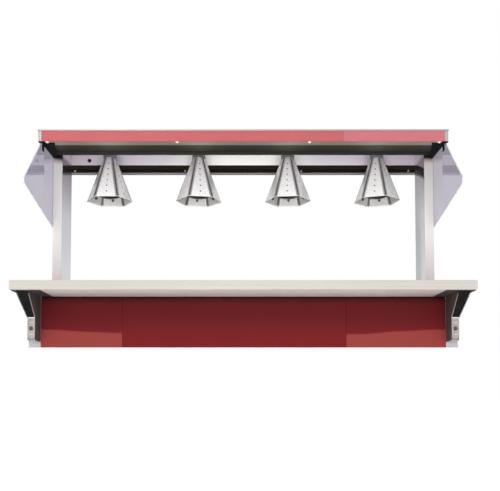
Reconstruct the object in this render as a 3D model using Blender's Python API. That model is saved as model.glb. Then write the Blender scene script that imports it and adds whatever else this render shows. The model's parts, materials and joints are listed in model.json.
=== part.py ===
"""Countertop heat lamp warmer: a red and stainless base with a front shelf, two box posts, an overhead
canopy, four hexagonal infrared lamps hung behind it and a clear guard at each end.

Metres, +Z up.  The origin is the bottom centre of the object's box.  The customer side is -Y, and the
long side runs along X.
"""

import math

import bmesh
import bpy
from mathutils import Matrix, Vector

# ---------------------------------------------------------------- driving dimensions
GAP = 0.0003  # between pieces that touch
SHEET = 0.0020  # thickness of the folded stainless sheet

HALF_LENGTH = 0.828  # outer faces of the posts and of the base
BASE_FRONT = -0.2315
BASE_REAR = 0.425
BASE_HEIGHT = 0.199
PANEL_THICKNESS = 0.012
CORNER_STRIP_WIDTH = 0.0455
RAIL_SIZE = 0.025

TOP_HALF_LENGTH = 0.846  # worktop and front shelf
TOP_HEIGHT = 0.233
SHELF_FRONT = -0.425

POST_FRONT = 0.093
POST_WIDTH = 0.040
POST_DEPTH = 0.170
POST_WALL = 0.0025
POST_FOOT_HEIGHT = 0.004
POST_FOOT_MARGIN = 0.014

CANOPY_FRONT = -0.1185
CANOPY_BOTTOM = 0.849
FASCIA_TOP = 0.8955
NOSE_TOP = 0.8985
ROOF_TOP = 0.920
ROOF_BREAK = 0.053  # where the sloping nose of the roof turns level
NOSE_LIP = 0.006
FASCIA_HALF_LENGTH = 0.8222
FASCIA_THICKNESS = 0.006
TRIM_HALF_LENGTH = 0.8377
TRIM_RETURN = 0.022
ARM_WIDTH = 0.014
HEADER_FLANGE = 0.047
PAN_BOTTOM = 0.861

BEAM_REAR = 0.355
BEAM_BOTTOM = 0.870
BEAM_LIP_BOTTOM = 0.8515
BEAM_LIP_LEG = 0.018

LAMP_SPACING = 0.397
LAMP_Y = 0.168
LAMP_COUNT = 4
LAMP_RAIL_WIDTH = 0.070
LAMP_RAIL_BOTTOM = 0.8995
COLLAR_RADIUS = 0.0285
COLLAR_WALL = 0.003
COLLAR_FLANGE = 0.005
SHADE_TOP = 0.867
SHADE_BOTTOM = 0.676
SHADE_TOP_RADIUS = 0.0315
SHADE_RIM_RADIUS = 0.1035
SHADE_WALL = 0.0015
SHADE_TURNS = (0.0, 9.0, -6.0, -18.0)  # how each shade stands turned on its neck, degrees
SHADE_HOLE_RADIUS = 0.0260
SOCKET_RADIUS = 0.0215
SOCKET_BOTTOM = 0.846
SCREW_BORE = 0.0142
SCREW_DEPTH = 0.034
BULB_SCREW_RADIUS = 0.0130
BULB_WALL = 0.0012
BULB_WIDEST = 0.729
BULB_PROFILE = (  # (radius, height) down the outside of the glass
    (0.0165, 0.8440),
    (0.0200, 0.8330),
    (0.0310, 0.8090),
    (0.0455, 0.7770),
    (0.0550, 0.7495),
    (0.0580, BULB_WIDEST),
    (0.0560, 0.7120),
    (0.0480, 0.7000),
    (0.0300, 0.6935),
    (0.0120, 0.6920),
)

GUARD_THICKNESS = 0.006
GUARD_TIP = (-0.334, 0.6255)
GUARD_TOP = 0.878
GUARD_TOP_FRONT = -0.064
GUARD_REAR_BOTTOM = 0.520
GUARD_REAR_INSET = 0.005
GUARD_RADII = (0.014, 0.020, 0.010, 0.010)  # tip, rear bottom, rear top, front top
CLIP_FRONT = -0.090
CLIP_WIDTH = 0.022
CLIP_DROP = 0.027
CLIP_WALL = 0.0035

BRACKET_INNER = 0.7826  # from the middle of the object to a bracket's inner face
BRACKET_WIDTH = 0.0285
BRACKET_TOP_WIDTH = 0.044
BRACKET_REACH = 0.078
BRACKET_BOTTOM = 0.022
BRACKET_BEND = 0.107
BRACKET_TOP_FRONT = -0.408
BRACKET_TOE_RADIUS = 0.012
BOLT_HEIGHT = 0.068
BOLT_RADIUS = 0.0062

SCREW_STATIONS = (-0.800, -0.2705, 0.2705, 0.800)
SCREW_RADIUS = 0.006
SCREW_INSET = 0.0075

SWITCH_X = -0.708
SWITCH_Z = 0.8915
LEVER_REST = 22.0  # the lever rests this far below level, degrees
LEVER_LENGTH = 0.022
LEVER_PIVOT_DEPTH = 0.0035
LEVER_NECK = 0.0017
LEVER_KNOB = 0.0027
BUSHING_RADIUS = 0.006
BUSHING_BORE = 0.0044
BUSHING_REACH = 0.0075  # how far it stands out of the beam's face
NUT_RADIUS = 0.009
NUT_HEIGHT = 0.0035
SWITCH_BODY = (0.010, 0.030, 0.014)  # half width, depth, half height
INLET_X = 0.650
INLET_Z = 0.8905
TERMINAL_BOX = (0.055, 0.022, 0.030)  # half width, half depth, height
LOOM_RADIUS = 0.0035
LAMP_LOOM_HALF = 0.70
INLET_RADIUS = 0.0095
INLET_BORE = 0.005
INLET_REACH = 0.014

# ---------------------------------------------------------------- finishes: colour, metallic, roughness
FINISHES = {
    "stainless": ((0.74, 0.73, 0.72), 1.0, 0.30),
    "stainless_shade": ((0.80, 0.80, 0.80), 1.0, 0.16),
    "dark_steel": ((0.16, 0.155, 0.145), 1.0, 0.38),
    "fascia_laminate": ((0.62, 0.13, 0.15), 0.0, 0.28),
    "body_laminate": ((0.19, 0.015, 0.02), 0.0, 0.18),
    "clear_acrylic": ((0.93, 0.93, 0.97), 0.0, 0.03),
    "bulb_glass": ((0.90, 0.88, 0.86), 0.0, 0.20),
    "porcelain": ((0.88, 0.86, 0.82), 0.0, 0.35),
    "black_plastic": ((0.02, 0.02, 0.022), 0.0, 0.45),
    "zinc_bolt": ((0.60, 0.58, 0.55), 1.0, 0.35),
    "wire_insulation": ((0.55, 0.53, 0.50), 0.0, 0.50),
}


# ---------------------------------------------------------------- modelling helpers
def clear_scene():
    for scene_object in list(bpy.data.objects):
        bpy.data.objects.remove(scene_object, do_unlink=True)


def make_material(name):
    colour, metallic, roughness = FINISHES[name]
    material = bpy.data.materials.new(name)
    material.use_nodes = True
    shader = material.node_tree.nodes["Principled BSDF"]
    shader.inputs["Base Color"].default_value = (*colour, 1.0)
    shader.inputs["Metallic"].default_value = metallic
    shader.inputs["Roughness"].default_value = roughness
    return material


def finish_object(name, bm, finish, smooth_angle=None):
    """Turns a bmesh into a named object with its own material."""
    bmesh.ops.recalc_face_normals(bm, faces=bm.faces)
    mesh = bpy.data.meshes.new(name)
    bm.to_mesh(mesh)
    bm.free()
    if smooth_angle is not None:
        mesh.shade_smooth()
        mesh.set_sharp_from_angle(angle=math.radians(smooth_angle))
    mesh.materials.append(make_material(finish))
    made = bpy.data.objects.new(name, mesh)
    bpy.context.collection.objects.link(made)
    return made


def move_origin(made, point):
    """Puts an object's origin at a point without moving its shape."""
    made.data.transform(Matrix.Translation(-Vector(point)))
    made.location = point


def box_bmesh(low, high):
    bm = bmesh.new()
    size = [high[k] - low[k] for k in range(3)]
    centre = [(high[k] + low[k]) / 2 for k in range(3)]
    matrix = Matrix.Translation(centre) @ Matrix.Diagonal((*size, 1.0))
    bmesh.ops.create_cube(bm, size=1.0, matrix=matrix)
    return bm


def box(name, low, high, finish):
    return finish_object(name, box_bmesh(low, high), finish)


def open_box(name, low, high, wall, open_axis, open_sign, finish):
    """A box of sheet, open on one side: the open face is inset by the wall and pushed in."""
    bm = box_bmesh(low, high)
    direction = Vector((0.0, 0.0, 0.0))
    direction[open_axis] = open_sign
    bm.normal_update()
    mouth = [f for f in bm.faces if f.normal.dot(direction) > 0.9]
    bmesh.ops.inset_individual(bm, faces=mouth, thickness=wall)
    pushed = bmesh.ops.extrude_discrete_faces(bm, faces=mouth)["faces"]
    depth = high[open_axis] - low[open_axis] - wall
    bmesh.ops.translate(bm, verts=pushed[0].verts, vec=-direction * depth)
    return finish_object(name, bm, finish)


def prism_bmesh(outline, low, high, axis):
    """Extrudes a flat outline along an axis; the outline holds the other two coordinates, in order."""
    bm = bmesh.new()
    rings = []
    for level in (low, high):
        ring = []
        for pair in outline:
            point = list(pair)
            point.insert(axis, level)
            ring.append(bm.verts.new(point))
        rings.append(ring)
    bm.faces.new(rings[0])
    bm.faces.new(rings[1])
    for index in range(len(outline)):
        following = (index + 1) % len(outline)
        bm.faces.new((rings[0][index], rings[0][following], rings[1][following], rings[1][index]))
    return bm


def prism(name, outline, low, high, axis, finish):
    return finish_object(name, prism_bmesh(outline, low, high, axis), finish)


def folded_outline(path, thickness):
    """The outline of a folded sheet: the path, and the path again at the sheet's thickness to its left."""
    points = [Vector(p) for p in path]
    runs = [(b - a).normalized() for a, b in zip(points, points[1:])]
    inner = []
    for index, point in enumerate(points):
        before = runs[max(index - 1, 0)]
        after = runs[min(index, len(runs) - 1)]
        normal = Vector((-before.y, before.x)) + Vector((-after.y, after.x))
        normal.normalize()
        across = normal.dot(Vector((-before.y, before.x)))
        inner.append(point + normal * (thickness / across))
    return [tuple(p) for p in points] + [tuple(p) for p in reversed(inner)]


def rounded_outline(corners, radii, steps=4):
    """A polygon whose corners with a radius become arcs."""
    outline = []
    for index, corner in enumerate(corners):
        radius = radii[index]
        if radius == 0.0:
            outline.append(corner)
            continue
        here = Vector(corner)
        to_last = (Vector(corners[index - 1]) - here).normalized()
        to_next = (Vector(corners[(index + 1) % len(corners)]) - here).normalized()
        half_angle = to_last.angle(to_next) / 2
        centre = here + (to_last + to_next).normalized() * (radius / math.sin(half_angle))
        start = here + to_last * (radius / math.tan(half_angle)) - centre
        end = here + to_next * (radius / math.tan(half_angle)) - centre
        sweep = start.angle_signed(end)
        for step in range(steps + 1):
            turn = Matrix.Rotation(-sweep * step / steps, 2)
            outline.append(tuple(centre + turn @ start))
    return outline


def loop_solid(name, rings, finish, smooth_angle=None):
    """A ring-shaped solid: the rings of points are joined in turn, and the last joins the first."""
    bm = bmesh.new()
    made = [[bm.verts.new(point) for point in ring] for ring in rings]
    for index, ring in enumerate(made):
        onward = made[(index + 1) % len(made)]
        for step in range(len(ring)):
            following = (step + 1) % len(ring)
            bm.faces.new((ring[step], ring[following], onward[following], onward[step]))
    return finish_object(name, bm, finish, smooth_angle)


def circle(radius, height, sides, centre=(0.0, 0.0), turn=0.0):
    """Points of a level circle, or of a polygon when the sides are few."""
    points = []
    for step in range(sides):
        angle = turn + 2 * math.pi * step / sides
        points.append((centre[0] + radius * math.cos(angle), centre[1] + radius * math.sin(angle), height))
    return points


def standing_ring(radius, y, x, z):
    """Points of a circle that stands across the Y axis."""
    return [(x + a, y, z + b) for a, b, _ in circle(radius, 0.0, 16)]


def rectangle(half_x, half_y, height, centre):
    """Corners of a level rectangle."""
    corners = ((-1, -1), (1, -1), (1, 1), (-1, 1))
    return [(centre[0] + a * half_x, centre[1] + b * half_y, height) for a, b in corners]


def lathe_bmesh(profile, sides, matrix):
    """A round solid from (radius, height) points along its own Z axis, capped at both ends."""
    bm = bmesh.new()
    rings = [[bm.verts.new(matrix @ Vector(p)) for p in circle(r, z, sides)] for r, z in profile]
    for lower, upper in zip(rings, rings[1:]):
        for step in range(sides):
            following = (step + 1) % sides
            bm.faces.new((lower[step], lower[following], upper[following], upper[step]))
    bm.faces.new(rings[0])
    bm.faces.new(rings[-1])
    return bm


def lathe(name, profile, sides, finish, matrix, smooth_angle=35.0):
    return finish_object(name, lathe_bmesh(profile, sides, matrix), finish, smooth_angle)


def cut(made, cutter_bm, cutter_name):
    """Cuts a shape out of an object with an exact Boolean; the cutter stays as a hidden guide."""
    bmesh.ops.recalc_face_normals(cutter_bm, faces=cutter_bm.faces)
    mesh = bpy.data.meshes.new(cutter_name)
    cutter_bm.to_mesh(mesh)
    cutter_bm.free()
    cutter = bpy.data.objects.new(cutter_name, mesh)
    bpy.context.collection.objects.link(cutter)
    cutter.hide_render = True
    cutter.display_type = "WIRE"
    boolean = made.modifiers.new(cutter_name, "BOOLEAN")
    boolean.operation = "DIFFERENCE"
    boolean.solver = "EXACT"
    boolean.object = cutter


def facing(direction, point):
    """A matrix that stands a lathe's Z axis along a direction, with its foot at a point."""
    turn = Vector((0.0, 0.0, 1.0)).rotation_difference(Vector(direction)).to_matrix().to_4x4()
    return Matrix.Translation(point) @ turn


def tube_along(name, points, radius, finish):
    """A round cable through points, as a curve with a bevel and filled caps."""
    curve = bpy.data.curves.new(name, "CURVE")
    curve.dimensions = "3D"
    curve.bevel_depth = radius
    curve.bevel_resolution = 2
    curve.use_fill_caps = True
    spline = curve.splines.new("POLY")
    spline.points.add(len(points) - 1)
    for place, point in zip(spline.points, points):
        place.co = (*point, 1.0)
    curve.materials.append(make_material(finish))
    made = bpy.data.objects.new(name, curve)
    bpy.context.collection.objects.link(made)
    return made


SIDES = (("left", -1), ("right", 1))
POST_REAR = POST_FRONT + POST_DEPTH
BEAM_FRONT = POST_REAR + GAP
ARM_INNER = HALF_LENGTH - ARM_WIDTH
ARM_FRONT = CANOPY_FRONT + FASCIA_THICKNESS + GAP
ROOF_UNDERSIDE = ROOF_TOP - SHEET - GAP
LAMP_XS = [LAMP_SPACING * (index - (LAMP_COUNT - 1) / 2) for index in range(LAMP_COUNT)]


def span(sign, inner, outer):
    """The low and high x of a piece between two distances from the middle, on one side."""
    return (-outer, -inner) if sign < 0 else (inner, outer)


# ---------------------------------------------------------------- base
def build_base():
    panel_half = HALF_LENGTH - CORNER_STRIP_WIDTH - GAP
    panel_top = BASE_HEIGHT - GAP
    panel_back = BASE_FRONT + PANEL_THICKNESS
    front_low = (-panel_half, BASE_FRONT, 0.0)
    front_high = (panel_half, panel_back, panel_top)
    box("base_front_panel", front_low, front_high, "body_laminate")
    strip_back = BASE_FRONT + CORNER_STRIP_WIDTH
    for side, sign in SIDES:
        strip = [
            (sign * (HALF_LENGTH - CORNER_STRIP_WIDTH), BASE_FRONT),
            (sign * HALF_LENGTH, BASE_FRONT),
            (sign * HALF_LENGTH, strip_back),
            (sign * (HALF_LENGTH - SHEET), strip_back),
            (sign * (HALF_LENGTH - SHEET), BASE_FRONT + SHEET),
            (sign * (HALF_LENGTH - CORNER_STRIP_WIDTH), BASE_FRONT + SHEET),
        ]
        prism(f"corner_strip_{side}", strip, 0.0, panel_top, 2, "stainless")
        low_x, high_x = span(sign, HALF_LENGTH - PANEL_THICKNESS, HALF_LENGTH)
        side_low = (low_x, strip_back + GAP, 0.0)
        box(f"base_side_{side}", side_low, (high_x, BASE_REAR, panel_top), "body_laminate")
    rear_half = HALF_LENGTH - PANEL_THICKNESS - GAP
    rear_low = (-rear_half, BASE_REAR - SHEET, 0.0)
    box("base_rear_panel", rear_low, (rear_half, BASE_REAR, panel_top), "stainless")
    front_rail = panel_back + GAP
    front_angle = [(front_rail, RAIL_SIZE), (front_rail, 0.0), (front_rail + RAIL_SIZE, 0.0)]
    rear_rail = BASE_REAR - SHEET - GAP
    rear_angle = [(rear_rail - RAIL_SIZE, 0.0), (rear_rail, 0.0), (rear_rail, RAIL_SIZE)]
    for end, angle in (("front", front_angle), ("rear", rear_angle)):
        outline = folded_outline(angle, SHEET)
        prism(f"base_rail_{end}", outline, -panel_half, panel_half, 0, "stainless")


def build_tops():
    """The worktop is a pan turned down on all sides; the shelf is a box open towards the worktop."""
    top_low = (-TOP_HALF_LENGTH, BASE_FRONT, BASE_HEIGHT)
    top_high = (TOP_HALF_LENGTH, BASE_REAR, TOP_HEIGHT)
    open_box("worktop", top_low, top_high, SHEET, 2, -1, "stainless")
    shelf_low = (-TOP_HALF_LENGTH, SHELF_FRONT, BASE_HEIGHT)
    shelf_high = (TOP_HALF_LENGTH, BASE_FRONT - GAP, TOP_HEIGHT)
    open_box("front_shelf", shelf_low, shelf_high, SHEET, 1, 1, "stainless")


def wedge_bmesh(sign, back, foot, nose, top, bottom_span, top_span):
    """A wedge that slopes up and forward from its foot at the back to its nose, wider along its top."""
    arm = [
        [(bottom_span[0], back, foot), (bottom_span[1], back, foot)],
        [(top_span[0], nose, top), (top_span[1], nose, top)],
        [(top_span[0], back, top), (top_span[1], back, top)],
    ]
    bm = bmesh.new()
    edges = [[bm.verts.new((sign * x, y, z)) for x, y, z in pair] for pair in arm]
    for index in range(3):
        here, there = edges[index], edges[(index + 1) % 3]
        bm.faces.new((here[0], here[1], there[1], there[0]))
    bm.faces.new([pair[0] for pair in edges])
    bm.faces.new([pair[1] for pair in edges])
    return bm


def build_brackets():
    """Each bracket is a folded upright on the base and a folded arm that slopes out under the shelf."""
    top = BASE_HEIGHT - GAP
    back = BASE_FRONT - GAP
    front = BASE_FRONT - BRACKET_REACH
    upright = rounded_outline(
        [(back, BRACKET_BOTTOM), (back, top), (front, top), (front, BRACKET_BOTTOM)],
        [0.0, 0.0, 0.0, BRACKET_TOE_RADIUS],
    )
    upright_hollow = rounded_outline(
        [
            (back + SHEET, BRACKET_BOTTOM + SHEET),
            (back + SHEET, top - SHEET),
            (front + SHEET, top - SHEET),
            (front + SHEET, BRACKET_BOTTOM + SHEET),
        ],
        [0.0, 0.0, 0.0, BRACKET_TOE_RADIUS - SHEET],
    )
    web = front - GAP
    slope = (top - BRACKET_BEND) / (web - BRACKET_TOP_FRONT)
    rise = SHEET * math.hypot(1.0, slope)  # a sheet's thickness, measured upright on the slope
    hollow_foot = BRACKET_BEND + rise - SHEET * slope
    hollow_nose = web - (top - SHEET - BRACKET_BEND - rise) / slope
    outer = BRACKET_INNER + BRACKET_WIDTH
    flare = BRACKET_INNER + BRACKET_TOP_WIDTH
    inside = (BRACKET_INNER + SHEET, outer - SHEET)
    for side, sign in SIDES:
        made = prism(f"bracket_upright_{side}", upright, *span(sign, BRACKET_INNER, outer), 0, "stainless")
        cut(made, prism_bmesh(upright_hollow, *span(sign, *inside), 0), f"cut_upright_{side}")
        bottom_span, top_span = (BRACKET_INNER, outer), (BRACKET_INNER, flare)
        bm = wedge_bmesh(sign, web, BRACKET_BEND, BRACKET_TOP_FRONT, top, bottom_span, top_span)
        made = finish_object(f"bracket_arm_{side}", bm, "dark_steel")
        top_inside = (inside[0], flare - SHEET)
        hollow = wedge_bmesh(sign, web + SHEET, hollow_foot, hollow_nose, top - SHEET, inside, top_inside)
        cut(made, hollow, f"cut_bracket_{side}")
        head = [(BOLT_RADIUS, 0.0), (BOLT_RADIUS, 0.0026), (BOLT_RADIUS * 0.68, 0.0044)]
        seat = (sign * (BRACKET_INNER + outer) / 2, web, BOLT_HEIGHT)
        lathe(f"bracket_bolt_{side}", head, 12, "zinc_bolt", facing((0, -1, 0), seat))


# ---------------------------------------------------------------- posts and canopy
def build_posts():
    """Box-section posts, each welded to a foot plate that sits on the worktop."""
    foot = TOP_HEIGHT + GAP
    middle_y = POST_FRONT + POST_DEPTH / 2
    for side, sign in SIDES:
        centre = (sign * (HALF_LENGTH - POST_WIDTH / 2), middle_y)
        half_x, half_y = POST_WIDTH / 2, POST_DEPTH / 2
        inner_x, inner_y = half_x - POST_WALL, half_y - POST_WALL
        plate_x, plate_y = half_x + POST_FOOT_MARGIN, half_y + POST_FOOT_MARGIN
        rings = [
            rectangle(plate_x, plate_y, foot, centre),
            rectangle(plate_x, plate_y, foot + POST_FOOT_HEIGHT, centre),
            rectangle(half_x, half_y, foot + POST_FOOT_HEIGHT, centre),
            rectangle(half_x, half_y, ROOF_UNDERSIDE, centre),
            rectangle(inner_x, inner_y, ROOF_UNDERSIDE, centre),
            rectangle(inner_x, inner_y, foot, centre),
        ]
        loop_solid(f"post_{side}", rings, "stainless")


def build_canopy():
    """Roof, fascia and underside, carried by an arm that reaches forward from each post."""
    nose = CANOPY_FRONT - GAP - SHEET
    roof_rear = BEAM_REAR + GAP + SHEET
    roof = [
        (roof_rear, ROOF_TOP - NOSE_LIP * 2),
        (roof_rear, ROOF_TOP),
        (ROOF_BREAK, ROOF_TOP),
        (nose, NOSE_TOP),
        (nose, NOSE_TOP - NOSE_LIP),
    ]
    roof_outline = folded_outline(roof, SHEET)
    prism("canopy_roof", roof_outline, -TRIM_HALF_LENGTH, TRIM_HALF_LENGTH, 0, "stainless")
    fascia_low = (-FASCIA_HALF_LENGTH, CANOPY_FRONT, CANOPY_BOTTOM + GAP)
    fascia_high = (FASCIA_HALF_LENGTH, CANOPY_FRONT + FASCIA_THICKNESS, FASCIA_TOP)
    box("canopy_fascia", fascia_low, fascia_high, "fascia_laminate")
    between = ARM_INNER - GAP
    flange_end = CANOPY_FRONT + HEADER_FLANGE
    header = [
        (ARM_FRONT, FASCIA_TOP),
        (ARM_FRONT, CANOPY_BOTTOM),
        (flange_end, CANOPY_BOTTOM),
        (flange_end, PAN_BOTTOM - GAP),
    ]
    prism("canopy_header", folded_outline(header, SHEET), -between, between, 0, "stainless")
    pan = [(flange_end - SHEET * 4, PAN_BOTTOM), (ROOF_BREAK, PAN_BOTTOM), (ROOF_BREAK, CANOPY_BOTTOM)]
    prism("canopy_underside", folded_outline(pan, SHEET), -between, between, 0, "dark_steel")
    for side, sign in SIDES:
        build_canopy_arm(side, sign)
        build_fascia_trim(side, sign)
    head = [(SCREW_RADIUS, 0.0), (SCREW_RADIUS, 0.0016), (SCREW_RADIUS * 0.6, 0.0042)]
    for number, station in enumerate(SCREW_STATIONS, 1):
        seat = (station, CANOPY_FRONT + SCREW_INSET, CANOPY_BOTTOM - GAP)
        lathe(f"canopy_screw_{number}", head, 12, "stainless_shade", facing((0, 0, -1), seat))


def nose_height(y):
    """The underside of the sloping part of the roof, less the gap to the piece below it."""
    rise = (ROOF_TOP - NOSE_TOP) / (ROOF_BREAK - (CANOPY_FRONT - GAP - SHEET))
    return ROOF_TOP - (ROOF_BREAK - y) * rise - SHEET * 1.01 - GAP


def build_canopy_arm(side, sign):
    """A box-section arm, open at the back where it meets the post."""
    arm_rear = POST_FRONT - GAP
    outline = [
        (ARM_FRONT, CANOPY_BOTTOM),
        (arm_rear, CANOPY_BOTTOM),
        (arm_rear, ROOF_UNDERSIDE),
        (ROOF_BREAK, ROOF_UNDERSIDE),
        (ARM_FRONT, nose_height(ARM_FRONT)),
    ]
    hollow = [
        (ARM_FRONT + SHEET, CANOPY_BOTTOM + SHEET),
        (arm_rear + SHEET, CANOPY_BOTTOM + SHEET),
        (arm_rear + SHEET, ROOF_UNDERSIDE - SHEET),
        (ROOF_BREAK, ROOF_UNDERSIDE - SHEET),
        (ARM_FRONT + SHEET, nose_height(ARM_FRONT) - SHEET),
    ]
    arm = prism(f"canopy_arm_{side}", outline, *span(sign, ARM_INNER, HALF_LENGTH), 0, "dark_steel")
    inside = span(sign, ARM_INNER + SHEET, HALF_LENGTH - SHEET)
    cut(arm, prism_bmesh(hollow, *inside, 0), f"cut_arm_{side}")


def build_fascia_trim(side, sign):
    """A rounded stainless corner that closes the end of the fascia."""
    trim_rear = CANOPY_FRONT + TRIM_RETURN
    corners = [
        (sign * (FASCIA_HALF_LENGTH + GAP), CANOPY_FRONT),
        (sign * TRIM_HALF_LENGTH, CANOPY_FRONT),
        (sign * TRIM_HALF_LENGTH, trim_rear),
        (sign * (HALF_LENGTH + GAP), trim_rear),
        (sign * (HALF_LENGTH + GAP), CANOPY_FRONT + FASCIA_THICKNESS),
        (sign * (FASCIA_HALF_LENGTH + GAP), CANOPY_FRONT + FASCIA_THICKNESS),
    ]
    outline = rounded_outline(corners, [0.0, 0.009, 0.003, 0.0, 0.0, 0.0])
    prism(f"fascia_trim_{side}", outline, CANOPY_BOTTOM, FASCIA_TOP, 2, "stainless")


def build_beam():
    """The wiring trough behind the posts, closed above by the roof, and the angle under its rear edge."""
    beam_low = (-HALF_LENGTH, BEAM_FRONT, BEAM_BOTTOM)
    beam_high = (HALF_LENGTH, BEAM_REAR, ROOF_UNDERSIDE)
    beam = open_box("rear_beam", beam_low, beam_high, SHEET, 2, 1, "stainless")
    hole = [(BUSHING_RADIUS + GAP, -SHEET), (BUSHING_RADIUS + GAP, SHEET * 2)]
    place = facing((0, 1, 0), (SWITCH_X, BEAM_FRONT, SWITCH_Z))
    cut(beam, lathe_bmesh(hole, 16, place), "cut_switch_hole")
    hole = [(INLET_RADIUS + GAP, -SHEET * 2), (INLET_RADIUS + GAP, SHEET)]
    place = facing((0, 1, 0), (INLET_X, BEAM_REAR, INLET_Z))
    cut(beam, lathe_bmesh(hole, 16, place), "cut_inlet_hole")
    under = BEAM_BOTTOM - GAP
    angle = [(BEAM_REAR, BEAM_LIP_BOTTOM), (BEAM_REAR, under), (BEAM_REAR - BEAM_LIP_LEG, under)]
    prism("beam_trim", folded_outline(angle, SHEET), -HALF_LENGTH, HALF_LENGTH, 0, "stainless")
    rail_half = HALF_LENGTH - POST_WIDTH - GAP
    rail_low = (-rail_half, LAMP_Y - LAMP_RAIL_WIDTH / 2, LAMP_RAIL_BOTTOM)
    rail_high = (rail_half, LAMP_Y + LAMP_RAIL_WIDTH / 2, ROOF_UNDERSIDE)
    open_box("lamp_rail", rail_low, rail_high, SHEET, 2, 1, "stainless")


# ---------------------------------------------------------------- lamps
def build_lamp(number, x, turn):
    """Collar, lampholder, reflector bulb and six-sided shade, all about one upright axis."""
    centre = (x, LAMP_Y)
    foot = Matrix.Translation((x, LAMP_Y, 0.0))
    collar_top = LAMP_RAIL_BOTTOM - GAP
    collar_inner = COLLAR_RADIUS - COLLAR_WALL
    flange = COLLAR_RADIUS + COLLAR_FLANGE
    collar = [
        (COLLAR_RADIUS, SHADE_TOP + GAP),
        (COLLAR_RADIUS, collar_top - COLLAR_WALL),
        (flange, collar_top - COLLAR_WALL),
        (flange, collar_top),
        (collar_inner, collar_top),
        (collar_inner, SHADE_TOP + GAP),
    ]
    rings = [circle(r, z, 24, centre) for r, z in collar]
    loop_solid(f"lamp_collar_{number}", rings, "stainless", 35.0)
    socket = [
        (SCREW_BORE, SOCKET_BOTTOM + SCREW_DEPTH),
        (SCREW_BORE, SOCKET_BOTTOM),
        (SOCKET_RADIUS, SOCKET_BOTTOM),
        (SOCKET_RADIUS, collar_top),
    ]
    lathe(f"lamp_socket_{number}", socket, 20, "porcelain", foot)
    cap = (BULB_SCREW_RADIUS, SOCKET_BOTTOM + SCREW_DEPTH - GAP * 2)
    outside = [cap, (BULB_SCREW_RADIUS, SOCKET_BOTTOM - GAP), *BULB_PROFILE]
    inside = []
    for radius, height in outside:
        lift = BULB_WALL if height < BULB_WIDEST else 0.0
        inside.append((radius - BULB_WALL, height + lift))
    lathe(f"lamp_bulb_{number}", inside[::-1] + outside, 24, "bulb_glass", foot)
    mouth = SHADE_HOLE_RADIUS
    wall = SHADE_WALL / math.cos(math.radians(30))
    shade = [
        (SHADE_RIM_RADIUS, SHADE_BOTTOM),
        (SHADE_TOP_RADIUS, SHADE_TOP),
        (mouth, SHADE_TOP),
        (mouth, SHADE_TOP - SHADE_WALL),
        (SHADE_TOP_RADIUS - wall, SHADE_TOP - SHADE_WALL),
        (SHADE_RIM_RADIUS - wall, SHADE_BOTTOM),
    ]
    rings = [circle(r, z, 6, (0.0, 0.0), math.radians(turn)) for r, z in shade]
    made = loop_solid(f"lamp_shade_{number}", rings, "stainless_shade")
    made.location = (x, LAMP_Y, 0.0)


# ---------------------------------------------------------------- guards
def build_guards():
    """A clear diamond-nosed sheet on the outside of each post, clipped to the canopy arm."""
    rear = POST_REAR - GUARD_REAR_INSET
    corners = [GUARD_TIP, (rear, GUARD_REAR_BOTTOM), (rear, GUARD_TOP), (GUARD_TOP_FRONT, GUARD_TOP)]
    outline = rounded_outline(corners, GUARD_RADII)
    inner = HALF_LENGTH + GAP
    for side, sign in SIDES:
        guard_span = span(sign, inner, inner + GUARD_THICKNESS)
        prism(f"glass_guard_{side}", outline, *guard_span, 0, "clear_acrylic")
        ceiling = CANOPY_BOTTOM - GAP
        clip = [
            (sign * (HALF_LENGTH - CLIP_WIDTH), ceiling),
            (sign * HALF_LENGTH, ceiling),
            (sign * HALF_LENGTH, ceiling - CLIP_DROP),
            (sign * (HALF_LENGTH - CLIP_WALL), ceiling - CLIP_DROP),
            (sign * (HALF_LENGTH - CLIP_WALL), ceiling - CLIP_WALL),
            (sign * (HALF_LENGTH - CLIP_WIDTH), ceiling - CLIP_WALL),
        ]
        prism(f"guard_clip_{side}", clip, CLIP_FRONT, CLIP_FRONT + CLIP_WIDTH, 1, "dark_steel")


# ---------------------------------------------------------------- switch and wiring
def build_switch():
    """A toggle switch on the beam's front face: body inside, bushing through the wall, nut and lever."""
    wall_inner = BEAM_FRONT + SHEET + GAP
    half_width, body_depth, half_height = SWITCH_BODY
    body_low = (SWITCH_X - half_width, wall_inner, SWITCH_Z - half_height)
    body_high = (SWITCH_X + half_width, wall_inner + body_depth, SWITCH_Z + half_height)
    box("switch_body", body_low, body_high, "black_plastic")
    bushing_end = BEAM_FRONT - BUSHING_REACH
    bushing_root = wall_inner - GAP
    nut_back = BEAM_FRONT - GAP
    nut_front = nut_back - NUT_HEIGHT
    profile = [
        (BUSHING_RADIUS, bushing_end),
        (BUSHING_RADIUS, nut_front),
        (NUT_RADIUS, nut_front),
        (NUT_RADIUS, nut_back),
        (BUSHING_RADIUS, nut_back),
        (BUSHING_RADIUS, bushing_root),
        (BUSHING_BORE, bushing_root),
        (BUSHING_BORE, bushing_end),
    ]
    rings = [standing_ring(radius, y, SWITCH_X, SWITCH_Z) for radius, y in profile]
    loop_solid("switch_bushing", rings, "zinc_bolt", 35.0)
    pivot = (SWITCH_X, BEAM_FRONT - LEVER_PIVOT_DEPTH, SWITCH_Z)
    rest = math.radians(LEVER_REST)
    direction = (0.0, -math.cos(rest), -math.sin(rest))
    bat = [
        (LEVER_NECK * 0.8, -LEVER_NECK),
        (LEVER_NECK, 0.0),
        (LEVER_NECK, LEVER_LENGTH / 3),
        (LEVER_KNOB, LEVER_LENGTH - 0.0040),
        (LEVER_KNOB, LEVER_LENGTH - 0.0012),
        (LEVER_KNOB / 2, LEVER_LENGTH),
    ]
    lever = lathe("switch_lever", bat, 12, "zinc_bolt", facing(direction, pivot))
    move_origin(lever, pivot)


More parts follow.
